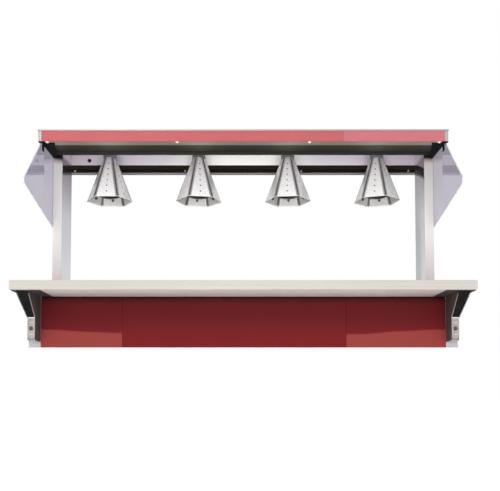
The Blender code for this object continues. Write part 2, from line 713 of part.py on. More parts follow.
def build_wiring():
    """Terminal box and supply loom in the trough, the lamp loom in the lamp rail, and the supply inlet."""
    floor = BEAM_BOTTOM + SHEET + GAP
    middle_y = (BEAM_FRONT + BEAM_REAR) / 2
    half_width, half_depth, box_height = TERMINAL_BOX
    box_low = (INLET_X - half_width, middle_y - half_depth, floor)
    box_high = (INLET_X + half_width, middle_y + half_depth, floor + box_height)
    open_box("terminal_box", box_low, box_high, SHEET, 2, 1, "black_plastic")
    switch_back = BEAM_FRONT + SHEET + GAP * 2 + SWITCH_BODY[1]
    lying = floor + LOOM_RADIUS * 1.7
    box_end = INLET_X - half_width - 0.001
    loom = [
        (SWITCH_X, switch_back + 0.001, SWITCH_Z),
        (SWITCH_X + 0.002, switch_back + 0.010, SWITCH_Z),
        (SWITCH_X + 0.012, middle_y + 0.010, SWITCH_Z - 0.004),
        (SWITCH_X + 0.040, middle_y + 0.012, lying + 0.002),
        (SWITCH_X + 0.300, middle_y + 0.008, lying),
        (0.0, middle_y + 0.004, lying),
        (box_end - 0.245, middle_y, lying),
        (box_end, middle_y, lying + 0.006),
    ]
    tube_along("supply_loom", loom, LOOM_RADIUS, "wire_insulation")
    loom_height = LAMP_RAIL_BOTTOM + SHEET + LOOM_RADIUS * 1.6
    lamp_loom = [(end * LAMP_LOOM_HALF, LAMP_Y, loom_height) for end in (-1.0, -0.5, 0.0, 0.5, 1.0)]
    tube_along("lamp_loom", lamp_loom, LOOM_RADIUS, "wire_insulation")
    outside = BEAM_REAR + GAP
    root = BEAM_REAR - SHEET * 3
    flange = INLET_RADIUS + 0.003
    gland = [
        (INLET_RADIUS, root),
        (INLET_RADIUS, outside),
        (flange, outside),
        (flange, outside + 0.005),
        (INLET_RADIUS, outside + 0.008),
        (INLET_RADIUS - 0.002, outside + INLET_REACH),
        (INLET_BORE, outside + INLET_REACH),
        (INLET_BORE, root),
    ]
    rings = [standing_ring(radius, y, INLET_X, INLET_Z) for radius, y in gland]
    loop_solid("power_inlet", rings, "black_plastic", 35.0)


def build_all():
    clear_scene()
    build_base()
    build_tops()
    build_brackets()
    build_posts()
    build_canopy()
    build_beam()
    for index, x in enumerate(LAMP_XS):
        build_lamp(index + 1, x, SHADE_TURNS[index])
    build_guards()
    build_switch()
    build_wiring()


build_all()
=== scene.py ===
"""Looks for the heat lamp warmer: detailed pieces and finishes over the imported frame."""

import json
import math

import bmesh
import bpy
from mathutils import Matrix, Vector

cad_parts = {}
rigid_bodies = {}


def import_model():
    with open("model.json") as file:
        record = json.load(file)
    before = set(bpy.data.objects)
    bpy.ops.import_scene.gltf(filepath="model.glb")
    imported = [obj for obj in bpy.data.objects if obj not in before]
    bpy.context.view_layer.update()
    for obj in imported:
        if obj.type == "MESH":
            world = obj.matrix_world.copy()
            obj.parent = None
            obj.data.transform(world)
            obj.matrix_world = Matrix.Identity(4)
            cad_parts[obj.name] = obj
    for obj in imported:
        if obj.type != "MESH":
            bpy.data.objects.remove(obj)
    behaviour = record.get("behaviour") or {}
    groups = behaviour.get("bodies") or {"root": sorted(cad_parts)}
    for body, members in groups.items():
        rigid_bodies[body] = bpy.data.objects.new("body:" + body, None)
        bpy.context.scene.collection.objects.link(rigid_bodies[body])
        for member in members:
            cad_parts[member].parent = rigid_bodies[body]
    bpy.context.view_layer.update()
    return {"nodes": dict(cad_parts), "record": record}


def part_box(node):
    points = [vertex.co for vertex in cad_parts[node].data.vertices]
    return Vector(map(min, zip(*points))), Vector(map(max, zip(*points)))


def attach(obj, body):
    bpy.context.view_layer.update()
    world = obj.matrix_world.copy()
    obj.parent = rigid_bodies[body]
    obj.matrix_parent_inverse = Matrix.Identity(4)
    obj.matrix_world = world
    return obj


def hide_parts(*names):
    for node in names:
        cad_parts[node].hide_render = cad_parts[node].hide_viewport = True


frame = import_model()
NODES = frame["nodes"]
BODY_OF = {node: body for body, nodes in frame["record"]["behaviour"]["bodies"].items() for node in nodes}
SIDES = (("left", -1), ("right", 1))
LAMPS = range(1, 5)
CANOPY_SCREWS = range(1, 5)

LEFT_JOINT, RIGHT_JOINT = -0.4680, 0.3980  # joints in the front panel
FASCIA_JOINTS = (-0.0080, 0.4090)
REVEAL = 0.0060  # dark gap between the front panel and the shelf
PLATE_GAP = 0.0003  # between a thin plate and what it is fixed to
EDGE = 0.0008  # how far the edges of CAD shapes are eased, where nothing else is said
SIXTH_TURN = math.pi / 3
TWELFTH_TURN = math.pi / 6


# -------- material helpers
def fill_ramp(ramp, stops):
    """Gives a colour ramp its stops, each a position with a colour or a grey."""
    while len(ramp.elements) < len(stops):
        ramp.elements.new(0.5)
    for element, (position, colour) in zip(ramp.elements, stops):
        element.position = position
        element.color = (*colour, 1.0) if isinstance(colour, tuple) else (colour, colour, colour, 1.0)


class Shader:
    """Builds one procedural material node by node."""

    def __init__(self, name):
        self.material = bpy.data.materials.new(name)
        self.material.use_nodes = True
        self.tree = self.material.node_tree
        self.bsdf = self.tree.nodes["Principled BSDF"]
        self.coords = self.tree.nodes.new("ShaderNodeTexCoord").outputs["Object"]

    def feed(self, socket, value):
        """Sets a socket to a number, vector or colour, or links another node's output to it."""
        if isinstance(value, bpy.types.NodeSocket):
            self.tree.links.new(value, socket)
        elif isinstance(value, tuple) and socket.type == "RGBA":
            socket.default_value = (*value, 1.0)
        else:
            socket.default_value = value

    def fill(self, node, values):
        for name, value in values.items():
            self.feed(node.inputs[name.replace("_", " ")], value)

    def set(self, **values):
        self.fill(self.bsdf, values)

    def add(self, kind, **values):
        node = self.tree.nodes.new(f"ShaderNode{kind}")
        self.fill(node, values)
        return node

    def mapping(self, scale=(1, 1, 1)):
        return self.add("Mapping", Scale=scale, Vector=self.coords).outputs["Vector"]

    def noise(self, vector, scale, detail=3.0, roughness=0.5):
        node = self.add("TexNoise", Scale=scale, Detail=detail, Roughness=roughness, Vector=vector)
        return node.outputs["Fac"]

    def grain(self, axis, along, across, detail=4.0, roughness=0.65):
        """Noise drawn out along one axis."""
        scale = [across, across, across]
        scale[axis] = along
        return self.noise(self.mapping(tuple(scale)), 1.0, detail, roughness)

    def ramp(self, value, stops):
        node = self.add("ValToRGB", Fac=value)
        fill_ramp(node.color_ramp, stops)
        return node.outputs["Color"]

    def range(self, value, low, high, from_low=0.0, from_high=1.0):
        limits = {"From_Min": from_low, "From_Max": from_high, "To_Min": low, "To_Max": high}
        return self.add("MapRange", Value=value, **limits).outputs["Result"]

    def mix(self, factor, first, second, blend="MIX"):
        node = self.add("Mix")
        node.data_type = "RGBA"
        node.blend_type = blend
        factor_socket = next(s for s in node.inputs if s.type == "VALUE" and s.name == "Factor")
        colour_sockets = [s for s in node.inputs if s.type == "RGBA"]
        for socket, value in zip((factor_socket, *colour_sockets), (factor, first, second)):
            self.feed(socket, value)
        return next(s for s in node.outputs if s.type == "RGBA")

    def math(self, operation, first, second=0.0):
        node = self.add("Math")
        node.operation = operation
        for socket, value in zip(node.inputs, (first, second)):
            self.feed(socket, value)
        return node.outputs["Value"]

    def axis(self, name):
        return self.add("SeparateXYZ", Vector=self.coords).outputs[name]

    def bump(self, height, strength, distance):
        node = self.add("Bump", Strength=strength, Distance=distance, Height=height)
        self.set(Normal=node.outputs["Normal"])

    def brush(self, tone, fine, dark, roughness, depth=0.05, **values):
        """Brushes the tone: the fine grain streaks it, roughens it and stands up a little."""
        streaked = self.mix(1.0, tone, self.ramp(fine, [(0.3, dark), (0.7, 1.0)]), "MULTIPLY")
        self.set(Base_Color=streaked, Roughness=self.range(fine, *roughness, 0.3, 0.7), **values)
        self.bump(fine, depth, 0.0004)


def scaled(colour, factor):
    return tuple(min(1.0, c * factor) for c in colour)


def steel(name, colour, grain_axis, roughness=(0.24, 0.38), streak=0.10, blotch=0.08, metallic=1.0):
    """Brushed stainless: fine streaks along one axis, slow blotches of handling, and a very light bump."""
    s = Shader(name)
    fine = s.grain(grain_axis, 3.0, 900.0)
    slow = s.grain(grain_axis, 1.6, 9.0, roughness=0.6)
    streaked = s.ramp(fine, [(0.28, scaled(colour, 1 - streak)), (0.72, scaled(colour, 1 + streak * 0.6))])
    shade = s.ramp(slow, [(0.30, 1.0 - blotch), (0.70, 1.0)])
    tone = s.mix(1.0, streaked, shade, "MULTIPLY")
    wear = s.math("ADD", s.math("MULTIPLY", fine, 0.55), s.math("MULTIPLY", slow, 0.45))
    rough = s.range(wear, *roughness, 0.3, 0.7)
    s.set(Base_Color=tone, Metallic=metallic, Roughness=rough, Anisotropic=0.45)
    s.bump(fine, 0.05, 0.0004)
    return s.material


def laminate(name, colour, roughness, gloss):
    """Satin laminate: even colour with a faint mottle and the pebble that its press plate leaves."""
    s = Shader(name)
    pebble = s.noise(s.mapping(), 1400.0, 2.0)
    cloud = s.noise(s.mapping((1.0, 1.0, 2.0)), 5.0, 3.0, 0.55)
    tone = s.ramp(cloud, [(0.3, scaled(colour, 0.95)), (0.7, scaled(colour, 1.05))])
    rough = s.range(pebble, roughness - 0.03, roughness + 0.05, 0.3, 0.7)
    s.set(Base_Color=tone, Roughness=rough, Specular_IOR_Level=gloss)
    s.bump(pebble, 0.02, 0.0003)
    return s.material


def plastic(name, colour, roughness, speckle=0.03, gloss=0.5):
    """Moulded or painted surface: a faint speckle and a fine grain."""
    s = Shader(name)
    grain = s.noise(s.mapping(), 1800.0, 2.0)
    speckled = tuple(c + speckle for c in colour)
    tone = s.ramp(s.noise(s.mapping(), 60.0, 2.0), [(0.3, colour), (0.7, speckled)])
    rough = s.range(grain, roughness - 0.05, roughness + 0.08, 0.3, 0.7)
    s.set(Base_Color=tone, Roughness=rough, Specular_IOR_Level=gloss)
    s.bump(grain, 0.05, 0.0002)
    return s.material


# name: colour, grain axis, roughness range, and what differs from plain stainless
STEELS = {
    "steel_x": ((0.78, 0.775, 0.77), 0, (0.24, 0.38), {}),
    "steel_z": ((0.78, 0.775, 0.77), 2, (0.26, 0.42), {}),
    "shelf_steel": ((0.64, 0.60, 0.565), 0, (0.40, 0.55), {"streak": 0.16, "metallic": 0.20}),
    # a warmer, more streaked copy of the shelf's steel for its underside, as painted shade
    "shelf_under": ((0.66, 0.58, 0.52), 0, (0.40, 0.55), {"streak": 0.22, "metallic": 0.20}),
    "header_steel": ((0.50, 0.455, 0.39), 0, (0.45, 0.55), {"metallic": 0.40}),
    "bracket_steel": ((0.50, 0.46, 0.44), 2, (0.35, 0.50), {"streak": 0.2, "blotch": 0.45, "metallic": 0.5}),
    "panel_steel": ((0.60, 0.59, 0.58), 0, (0.34, 0.48), {"metallic": 0.4}),
    "trim_steel": ((0.50, 0.48, 0.48), 0, (0.45, 0.55), {"metallic": 0.2}),
    "corner_steel": ((0.54, 0.53, 0.55), 2, (0.40, 0.55), {"metallic": 0.5}),
    # near-black painted shade for the brackets' side faces and the plates under the shelf
    "cheek": ((0.085, 0.066, 0.058), 2, (0.50, 0.65), {"streak": 0.2, "blotch": 0.4, "metallic": 0.1}),
    "collar": ((0.42, 0.40, 0.42), 2, (0.30, 0.45), {"metallic": 0.8}),
    # the next two are dark bands of painted shade along the shades' creases, the first lighter
    "crease_soft": ((0.40, 0.375, 0.40), 2, (0.22, 0.34), {"metallic": 0.3}),
    "crease": ((0.19, 0.175, 0.185), 2, (0.20, 0.34), {"metallic": 0.6}),
    # rougher and darker than the outside: a duller finish and painted shade
    "shade_inner": ((0.50, 0.475, 0.46), 2, (0.50, 0.62),
                    {"streak": 0.16, "blotch": 0.25, "metallic": 0.05}),
    # near-black painted shade seen through the vent holes
    "vent_shade_black": ((0.035, 0.032, 0.034), 2, (0.50, 0.65), {"metallic": 0.3}),
    # diffuse white so that the screws under the fascia read as glints: painted highlight
    "screw": ((0.97, 0.96, 0.96), 2, (0.35, 0.45), {"streak": 0.03, "blotch": 0.0, "metallic": 0.0}),
    "zinc": ((0.62, 0.60, 0.57), 2, (0.28, 0.42), {"streak": 0.12}),
    "bolt": ((0.14, 0.13, 0.13), 2, (0.30, 0.45), {"streak": 0.12}),
    "clip": ((0.72, 0.64, 0.50), 2, (0.40, 0.55), {"metallic": 0.5}),
    "bright": ((0.90, 0.90, 0.90), 2, (0.30, 0.40), {"streak": 0.03, "metallic": 0.5}),
    "brass": ((0.70, 0.52, 0.22), 2, (0.28, 0.42), {}),
}
# name: colour, roughness, and speckle and gloss where they differ
PLASTICS = {
    # the next two are near-black painted shade, for the beam's underside and for shaded arms, clips and
    # plates
    "beam_under": ((0.012, 0.008, 0.004), 0.80, 0.010, 0.05),
    "dark_z": ((0.008, 0.0075, 0.007), 0.70, 0.006, 0.10),
    "gap": ((0.006, 0.005, 0.005), 0.70, 0.002, 0.10),
    "black_paint": ((0.012, 0.012, 0.013), 0.45, 0.006, 0.25),
    "porcelain": ((0.85, 0.83, 0.79), 0.22),
    "black": ((0.018, 0.018, 0.020), 0.42, 0.01),
    "sleeve": ((0.50, 0.48, 0.45), 0.70, 0.08),
}
LAMINATES = {
    "fascia": ((0.54, 0.120, 0.125), 0.40, 0.30),
    # the fascia's right-hand board, lighter pink as a painted sheen
    "fascia_end_sheen": ((0.57, 0.165, 0.185), 0.40, 0.30),
    "body_side": ((0.185, 0.011, 0.015), 0.45, 0.20),
}


def clear_sheet():
    """Clear acrylic that looks lilac where it is seen at a slant."""
    s = Shader("acrylic")
    haze = s.noise(s.mapping(), 30.0)
    facing_away = s.tree.nodes.new("ShaderNodeLayerWeight").outputs["Facing"]
    tint = s.ramp(facing_away, [(0.15, (0.93, 0.92, 0.95)), (0.48, (0.66, 0.61, 0.74)),
                                (0.72, (0.50, 0.45, 0.62))])
    s.set(Base_Color=tint, Roughness=s.range(haze, 0.02, 0.06), Transmission_Weight=1.0, IOR=1.45)
    return s.material


def clear_edge():
    """The acrylic's flame-polished edge, which gathers light."""
    s = Shader("acrylic_edge")
    wave = s.noise(s.mapping(), 90.0)
    tone = s.ramp(wave, [(0.3, (0.74, 0.72, 0.84)), (0.7, (0.93, 0.92, 1.0))])
    s.set(Base_Color=tone, Roughness=s.range(wave, 0.12, 0.25), Specular_IOR_Level=0.6)
    return s.material


def lamp_glass():
    """A reflector bulb: dark red-black bowl, silvered above its widest part."""
    bowl_edge, silver_edge = 0.730, 0.744
    s = Shader("lamp_glass")
    silver = s.range(s.axis("Z"), 0.0, 1.0, bowl_edge, silver_edge)
    frost = s.noise(s.mapping(), 600.0, 2.0)
    tone = s.ramp(silver, [(0.0, (0.014, 0.011, 0.013)), (1.0, (0.75, 0.74, 0.73))])
    s.set(Base_Color=tone, Metallic=silver, Roughness=s.range(frost, 0.22, 0.40))
    s.bump(frost, 0.08, 0.0003)
    return s.material


def shade_steel():
    """Polished steel, faintly hammered, with painted shade: pinkish grey and darker towards the neck of the
    shade.
    """
    rim_height, neck_height = 0.676, 0.867
    s = Shader("polished")
    level = s.math("ADD", s.range(s.axis("Z"), 0.0, 1.0, rim_height, neck_height),
                   s.range(s.noise(s.mapping(), 14.0), -0.10, 0.10))
    # painted shade: light at the rim, darker and pinker towards the neck
    painted_light_tone = s.ramp(level, [(0.0, (0.94, 0.94, 0.93)), (0.45, (0.86, 0.85, 0.85)), (0.80, (0.70, 0.66, 0.675)),
                          (1.0, (0.54, 0.49, 0.50))])
    dimple = s.noise(s.mapping(), 260.0, 2.0, 0.6)
    tone = s.mix(1.0, painted_light_tone, s.ramp(dimple, [(0.30, 0.90), (0.62, 1.0)]), "MULTIPLY")
    s.set(Base_Color=tone, Metallic=0.25, Roughness=s.range(dimple, 0.14, 0.30, 0.3, 0.7))
    s.bump(dimple, 0.12, 0.0006)
    return s.material


def panel_with_painted_light(name, lit_patch):
    """Deep red laminate with a painted shelf shadow at the top and a painted lit patch low on the end
    boards.
    """
    # height of the painted shelf shadow, and where the painted lit patch on the end boards starts and how it
    # climbs
    shelf_shadow_height = 0.20
    lit_patch_from, lit_patch_start, lit_patch_slope, lit_patch_edge = 0.42, 0.052, 0.050, 0.004
    s = Shader(name)
    height = s.axis("Z")
    pebble = s.noise(s.mapping(), 1400.0, 2.0)
    cloud = s.noise(s.mapping((1.0, 1.0, 2.0)), 5.0, 3.0, 0.55)
    # painted shadow of the shelf: darker towards the top of the panel
    shelf_shadow_tone = s.ramp(s.range(height, 0.0, 1.0, 0.0, shelf_shadow_height),
                     [(0.0, (0.192, 0.0125, 0.0155)), (0.30, (0.175, 0.0120, 0.0150)),
                      (0.62, (0.122, 0.0095, 0.0120)), (0.84, (0.118, 0.0085, 0.0110)),
                      (1.0, (0.040, 0.0035, 0.0040))])
    tone = s.mix(1.0, shelf_shadow_tone, s.ramp(cloud, [(0.3, 0.94), (0.7, 1.0)]), "MULTIPLY")
    # painted light: a lighter patch low on the end boards, rising outwards
    if lit_patch:
        outward = s.math("SUBTRACT", s.math("ABSOLUTE", s.axis("X")), lit_patch_from)
        reach = s.math("MULTIPLY", outward, lit_patch_slope)
        wave = s.range(s.noise(s.mapping((5.0, 1.0, 1.0)), 1.0, 1.0), -0.006, 0.006)
        line = s.math("ADD", s.math("ADD", reach, wave), lit_patch_start)
        below = s.range(s.math("SUBTRACT", line, height), 0.0, 1.0, -lit_patch_edge, lit_patch_edge)
        tone = s.mix(below, tone, (0.300, 0.049, 0.044))
    s.set(Base_Color=tone, Roughness=s.range(pebble, 0.42, 0.50, 0.3, 0.7), Specular_IOR_Level=0.06)
    s.bump(pebble, 0.02, 0.0003)
    return s.material


def post_steel(name, metallic, roughness, shade_stops):
    """A post's brushed steel, coloured from its foot (0) to its top (1) with painted reflections and painted
    shade.
    """
    foot_height, top_height = 0.23, 0.93
    s = Shader(name)
    fine = s.grain(2, 3.0, 900.0)
    slow = s.grain(2, 2.0, 12.0, detail=3.0, roughness=0.5)
    level = s.math("ADD", s.range(s.axis("Z"), 0.0, 1.0, foot_height, top_height),
                   s.range(slow, -0.02, 0.02))
    s.brush(s.ramp(level, shade_stops), fine, 0.88, roughness, depth=0.04, Metallic=metallic, Anisotropic=0.4)
    return s.material


# painted light up the posts, from foot (0) to top (1): pink and lilac painted reflections, and the canopy's
# painted shadow near the top
POST_SIDE_SHADE_STOPS = [(0.0, (1.0, 1.0, 1.0)), (0.20, (0.93, 0.95, 0.98)), (0.33, (0.83, 0.85, 0.92)),
                   (0.54, (0.74, 0.73, 0.83)), (0.68, (0.46, 0.42, 0.49)), (0.84, (0.17, 0.135, 0.16)),
                   (0.89, (0.17, 0.14, 0.16)), (0.92, (0.88, 0.85, 0.89))]
POST_FACE_SHADE_STOPS = [(0.0, (0.56, 0.47, 0.475)), (0.12, (0.70, 0.62, 0.63)), (0.40, (0.92, 0.88, 0.87)),
                   (0.60, (0.98, 0.95, 0.91)), (0.845, (0.98, 0.96, 0.92)), (0.868, (0.66, 0.52, 0.48)),
                   (0.884, (0.020, 0.017, 0.016))]


def beam_face():
    """Brushed steel with a painted highlight: white in the middle, lilac grey towards its ends."""
    s = Shader("beam_steel")
    reach = s.math("ABSOLUTE", s.axis("X"))
    fine = s.grain(0, 3.0, 900.0)
    slow = s.grain(0, 2.5, 9.0, detail=3.0, roughness=0.5)
    spread = s.math("ADD", reach, s.range(slow, -0.12, 0.12))
    # painted highlight across the middle of the beam
    painted_light_tone = s.ramp(spread, [(0.10, (0.97, 0.95, 0.92)), (0.36, (0.66, 0.62, 0.67)),
                           (0.75, (0.56, 0.51, 0.57))])
    s.brush(painted_light_tone, fine, 0.90, (0.42, 0.56), Metallic=0.15, Anisotropic=0.4)
    return s.material


def pan_underside():
    """The canopy's dull underside with painted shade: warm and light at the front, dark towards the lamps.
    """
    pan_lit_y, pan_shaded_y = -0.075, 0.045
    s = Shader("dark_x")
    depth = s.axis("Y")
    fine = s.grain(0, 3.0, 700.0)
    slow = s.grain(0, 2.0, 10.0, detail=3.0, roughness=0.5)
    # painted shade, deepening from the front towards the lamps
    pan_shade_level = s.range(s.math("ADD", depth, s.range(slow, -0.02, 0.02)), 0.0, 1.0, pan_lit_y, pan_shaded_y)
    tone = s.ramp(pan_shade_level, [(0.0, (0.34, 0.305, 0.25)), (0.35, (0.105, 0.095, 0.075)),
                          (1.0, (0.050, 0.049, 0.040))])
    s.brush(tone, fine, 0.82, (0.50, 0.62), Metallic=0.35)
    return s.material


MATERIALS = {name: steel(name, *values, **extras) for name, (*values, extras) in STEELS.items()}
MATERIALS.update({name: plastic(name, *values) for name, values in PLASTICS.items()})
MATERIALS.update({name: laminate(name, *values) for name, values in LAMINATES.items()})
MATERIALS["polished"] = shade_steel()
MATERIALS["body"] = panel_with_painted_light("body", False)
MATERIALS["body_end"] = panel_with_painted_light("body_end", True)
MATERIALS["post_side"] = post_steel("post_side", 0.80, (0.13, 0.22), POST_SIDE_SHADE_STOPS)
MATERIALS["post_face"] = post_steel("post_face", 0.10, (0.34, 0.48), POST_FACE_SHADE_STOPS)
MATERIALS["beam_steel"] = beam_face()
MATERIALS["dark_x"] = pan_underside()
MATERIALS["acrylic"] = clear_sheet()
MATERIALS["acrylic_edge"] = clear_edge()
MATERIALS["lamp_glass"] = lamp_glass()


# -------- piece helpers
def smooth_sharp(mesh, angle):
    """Shades the mesh smooth, but keeps edges sharper than the angle in degrees."""
    mesh.shade_smooth()
    mesh.set_sharp_from_angle(angle=math.radians(angle))


def object_from(name, bm):
    """A new object in the scene, with the bmesh as its mesh."""
    mesh = bpy.data.meshes.new(name)
    bm.to_mesh(mesh)
    bm.free()
    made = bpy.data.objects.new(name, mesh)
    bpy.context.scene.collection.objects.link(made)
    return made


def new_piece(name, bm, material, body="frame", smooth=35.0, node=None, bevel=None):
    """Makes a piece from a bmesh, gives it its finish and puts it on its body."""
    bmesh.ops.recalc_face_normals(bm, faces=bm.faces)
    piece = object_from(name, bm)
    smooth_sharp(piece.data, smooth)
    piece.data.materials.append(MATERIALS[material])
    if bevel:
        modifier = piece.modifiers.new("edges", "BEVEL")
        modifier.width = bevel
        modifier.segments = 3
        modifier.limit_method = "ANGLE"
        modifier.angle_limit = math.radians(35)
        modifier.harden_normals = True
    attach(piece, body)
    if node:
        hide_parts(node)
    return piece


def add_detail(name, bm, material, smooth=50.0, bevel=None):
    """A piece on the frame that stands for no CAD node."""
    return new_piece(name, bm, material, "frame", smooth, None, bevel)


def node_bmesh(node):
    """A CAD node's mesh with its split corners joined and its flat faces made whole."""
    bm = bmesh.new()
    bm.from_mesh(NODES[node].data)
    bmesh.ops.remove_doubles(bm, verts=bm.verts, dist=2e-6)
    bmesh.ops.dissolve_limit(bm, angle_limit=math.radians(1.0), verts=bm.verts, edges=bm.edges)
    return bm


def refine(node, material, bevel=EDGE):
    """The CAD node again, with its edges eased and its own finish."""
    bm = node_bmesh(node)
    new_piece(f"{node}.piece", bm, material, BODY_OF[node], 35.0, node, bevel)


# -------- mesh helpers
def add_box(bm, low, high):
    size = [high[k] - low[k] for k in range(3)]
    centre = [(high[k] + low[k]) / 2 for k in range(3)]
    place = Matrix.Translation(centre) @ Matrix.Diagonal((*size, 1.0))
    bmesh.ops.create_cube(bm, size=1.0, matrix=place)


def join_rings(bm, rings, closed=False):
    """Joins each ring of points to the next one, and the last to the first if closed."""
    following_rings = rings[1:] + rings[:1] if closed else rings[1:]
    for here, there in zip(rings, following_rings):
        for k in range(len(here)):
            after = (k + 1) % len(here)
            bm.faces.new((here[k], here[after], there[after], there[k]))


def add_extrusion(bm, start, end):
    """Adds a closed solid between two rings of matching points."""
    rings = [[bm.verts.new(point) for point in ring] for ring in (start, end)]
    for ring in rings:
        bm.faces.new(ring)
    join_rings(bm, rings)


def facing(direction, point):
    """The matrix that stands a turned shape on the point, along the direction."""
    turn = Vector((0.0, 0.0, 1.0)).rotation_difference(Vector(direction)).to_matrix().to_4x4()
    return Matrix.Translation(point) @ turn


def circle(bm, radius, height, sides, matrix, turn=0.0):
    angles = [turn + 2 * math.pi * step / sides for step in range(sides)]
    points = [Vector((radius * math.cos(a), radius * math.sin(a), height)) for a in angles]
    return [bm.verts.new(matrix @ point) for point in points]


def add_lathe(bm, profile, sides, matrix, turn=0.0):
    """Adds a turned shape from (radius, height) points; its ends are closed."""
    rings = [circle(bm, radius, height, sides, matrix, turn) for radius, height in profile]
    join_rings(bm, rings)
    bm.faces.new(list(reversed(rings[0])))
    bm.faces.new(rings[-1])


def add_dome(bm, place, direction, radius, height, washer=0.0):
    """A domed head, with a flat washer under it if asked."""
    thick, eased, steps = 0.0010, 0.0004, 6
    if washer:
        profile = [(washer, 0.0), (washer, 0.0007), (washer - eased, thick), (radius, thick)]
    else:
        profile = [(radius, 0.0)]
    base = profile[-1][1]
    for step in range(1, steps):
        angle = math.pi / 2 * step / steps
        profile.append((radius * math.cos(angle), base + height * math.sin(angle)))
    add_lathe(bm, profile, 20, facing(direction, place))


def add_tube(bm, points, radius, sides=8, closed=True):
    """A round bead swept along a closed or open run of points."""
    points = [Vector(p) for p in points]
    count = len(points)
    rings = []
    for index, point in enumerate(points):
        before = points[index - 1] if closed or index else point
        after = points[(index + 1) % count] if closed or index < count - 1 else point
        along = (after - before).normalized()
        side = along.cross(Vector((0.0, 0.0, 1.0)))
        if side.length < 1e-4:
            side = along.cross(Vector((0.0, 1.0, 0.0)))
        side.normalize()
        up = side.cross(along)
        stretch = 1.0
        if closed or 0 < index < count - 1:
            bend = (point - before).normalized().angle((after - point).normalized(), 0.0)
            stretch = 1.0 / max(0.5, math.cos(bend / 2))
        ring = []
        for step in range(sides):
            angle = 2 * math.pi * step / sides
            offset = side * math.cos(angle) * stretch + up * math.sin(angle)
            ring.append(bm.verts.new(point + offset * radius))
        rings.append(ring)
    join_rings(bm, rings, closed)
    if not closed:
        bm.faces.new(rings[0])
        bm.faces.new(rings[-1])


def applied(piece):
    """The piece with its modifiers made part of its mesh."""
    evaluated = piece.evaluated_get(bpy.context.evaluated_depsgraph_get())
    mesh = bpy.data.meshes.new_from_object(evaluated)
    piece.modifiers.clear()
    piece.data = mesh
    return piece


def cut_from(piece, cutter_bm, smooth):
    """Cuts the shape out of the piece."""
    bmesh.ops.recalc_face_normals(cutter_bm, faces=cutter_bm.faces)
    cutter = object_from("cutter", cutter_bm)
    mesh = cutter.data
    modifier = piece.modifiers.new("cut", "BOOLEAN")
    modifier.operation = "DIFFERENCE"
    modifier.solver = "EXACT"
    modifier.object = cutter
    applied(piece)
    bpy.data.objects.remove(cutter, do_unlink=True)
    bpy.data.meshes.remove(mesh)
    smooth_sharp(piece.data, smooth)


def finish_faces(name, material, chosen):
    """Gives the faces that the test picks out a second finish of their own."""
    piece = applied(bpy.data.objects[name])
    piece.data.materials.append(MATERIALS[material])
    for face in piece.data.polygons:
        if chosen(face):
            face.material_index = len(piece.data.materials) - 1


# -------- pieces that keep the CAD shape
PLAIN = {
    "body_side": ["base_side_left", "base_side_right"],
    "corner_steel": ["corner_strip_left", "corner_strip_right"],
    "steel_z": ["fascia_trim_left", "fascia_trim_right"],
    "post_face": ["post_left", "post_right"],
    "bracket_steel": ["bracket_upright_left", "bracket_upright_right"],
    "panel_steel": ["base_rear_panel", "base_rail_front", "base_rail_rear"],
    "steel_x": ["canopy_roof", "lamp_rail"],
    "trim_steel": ["beam_trim"],
    "shelf_steel": ["worktop", "front_shelf"],
    "header_steel": ["canopy_header"],
    "beam_steel": ["rear_beam"],
    "dark_x": ["canopy_underside"],
    # painted shade: these clips and arms are near-black
    "dark_z": ["guard_clip_left", "guard_clip_right", "canopy_arm_left", "canopy_arm_right",
               "bracket_arm_left", "bracket_arm_right"],
    "black": ["switch_body", "terminal_box", "power_inlet", "switch_lever"],
    "sleeve": ["supply_loom", "lamp_loom"],
}
EASED = {"post": 0.0030, "worktop": 0.0016, "front_shelf": 0.0016, "bracket_upright": 0.0020}
# the beam's underside is painted near-black as shade
BEAM_UNDER_LIMIT = 0.875  # the beam's faces below this height are its dark underside


def edge_width(node):
    return next((width for start, width in EASED.items() if node.startswith(start)), EDGE)


def is_cheek(face):
    return abs(face.normal.x) > 0.7


def is_under(face):
    return face.normal.z < -0.7


def is_beam_under(face):
    return is_under(face) and face.center.z < BEAM_UNDER_LIMIT


for material, nodes in PLAIN.items():
    for node in nodes:
        refine(node, material, edge_width(node))
# the posts' side faces get a copy with painted reflections and painted shade; the brackets' side faces a
# near-black painted shade
for side in ("left", "right"):
    finish_faces(f"post_{side}.piece", "post_side", is_cheek)
    finish_faces(f"bracket_upright_{side}.piece", "cheek", is_cheek)
    finish_faces(f"bracket_arm_{side}.piece", "cheek", is_cheek)
finish_faces("front_shelf.piece", "shelf_under", is_under)
finish_faces("rear_beam.piece", "beam_under", is_beam_under)


# -------- lamps
SHADE_WALL = 0.0014
SHADE_MITRE = 1.15  # how much more the wall takes off at a corner
NECK_LIP = 0.80  # the turned-in lip's reach, as a share of the neck
CREASE_ROLL, CREASE_ROLL_INSIDE = 0.0100, 0.0085
# within these angles of a corner the faces get the painted crease shade
CREASE_ANGLE, CREASE_EDGE_ANGLE, CREASE_INSIDE_ANGLE = 0.045, 0.12, 0.11  # from the corner, in radians
VENTS, VENT_RADIUS, VENT_SHADE_RADIUS = 6, 0.0034, 0.0062
VENT_TOP, VENT_STEP = 0.845, 0.142  # shares of the shade's height
HEM_RADIUS, HEM_INSET, HEM_HEIGHT = 0.0019, 0.0030, 0.0020
# the two crease slots hold painted shade
OUTSIDE, INSIDE, CREASE, CREASE_SOFT = range(4)  # the shade's material slots


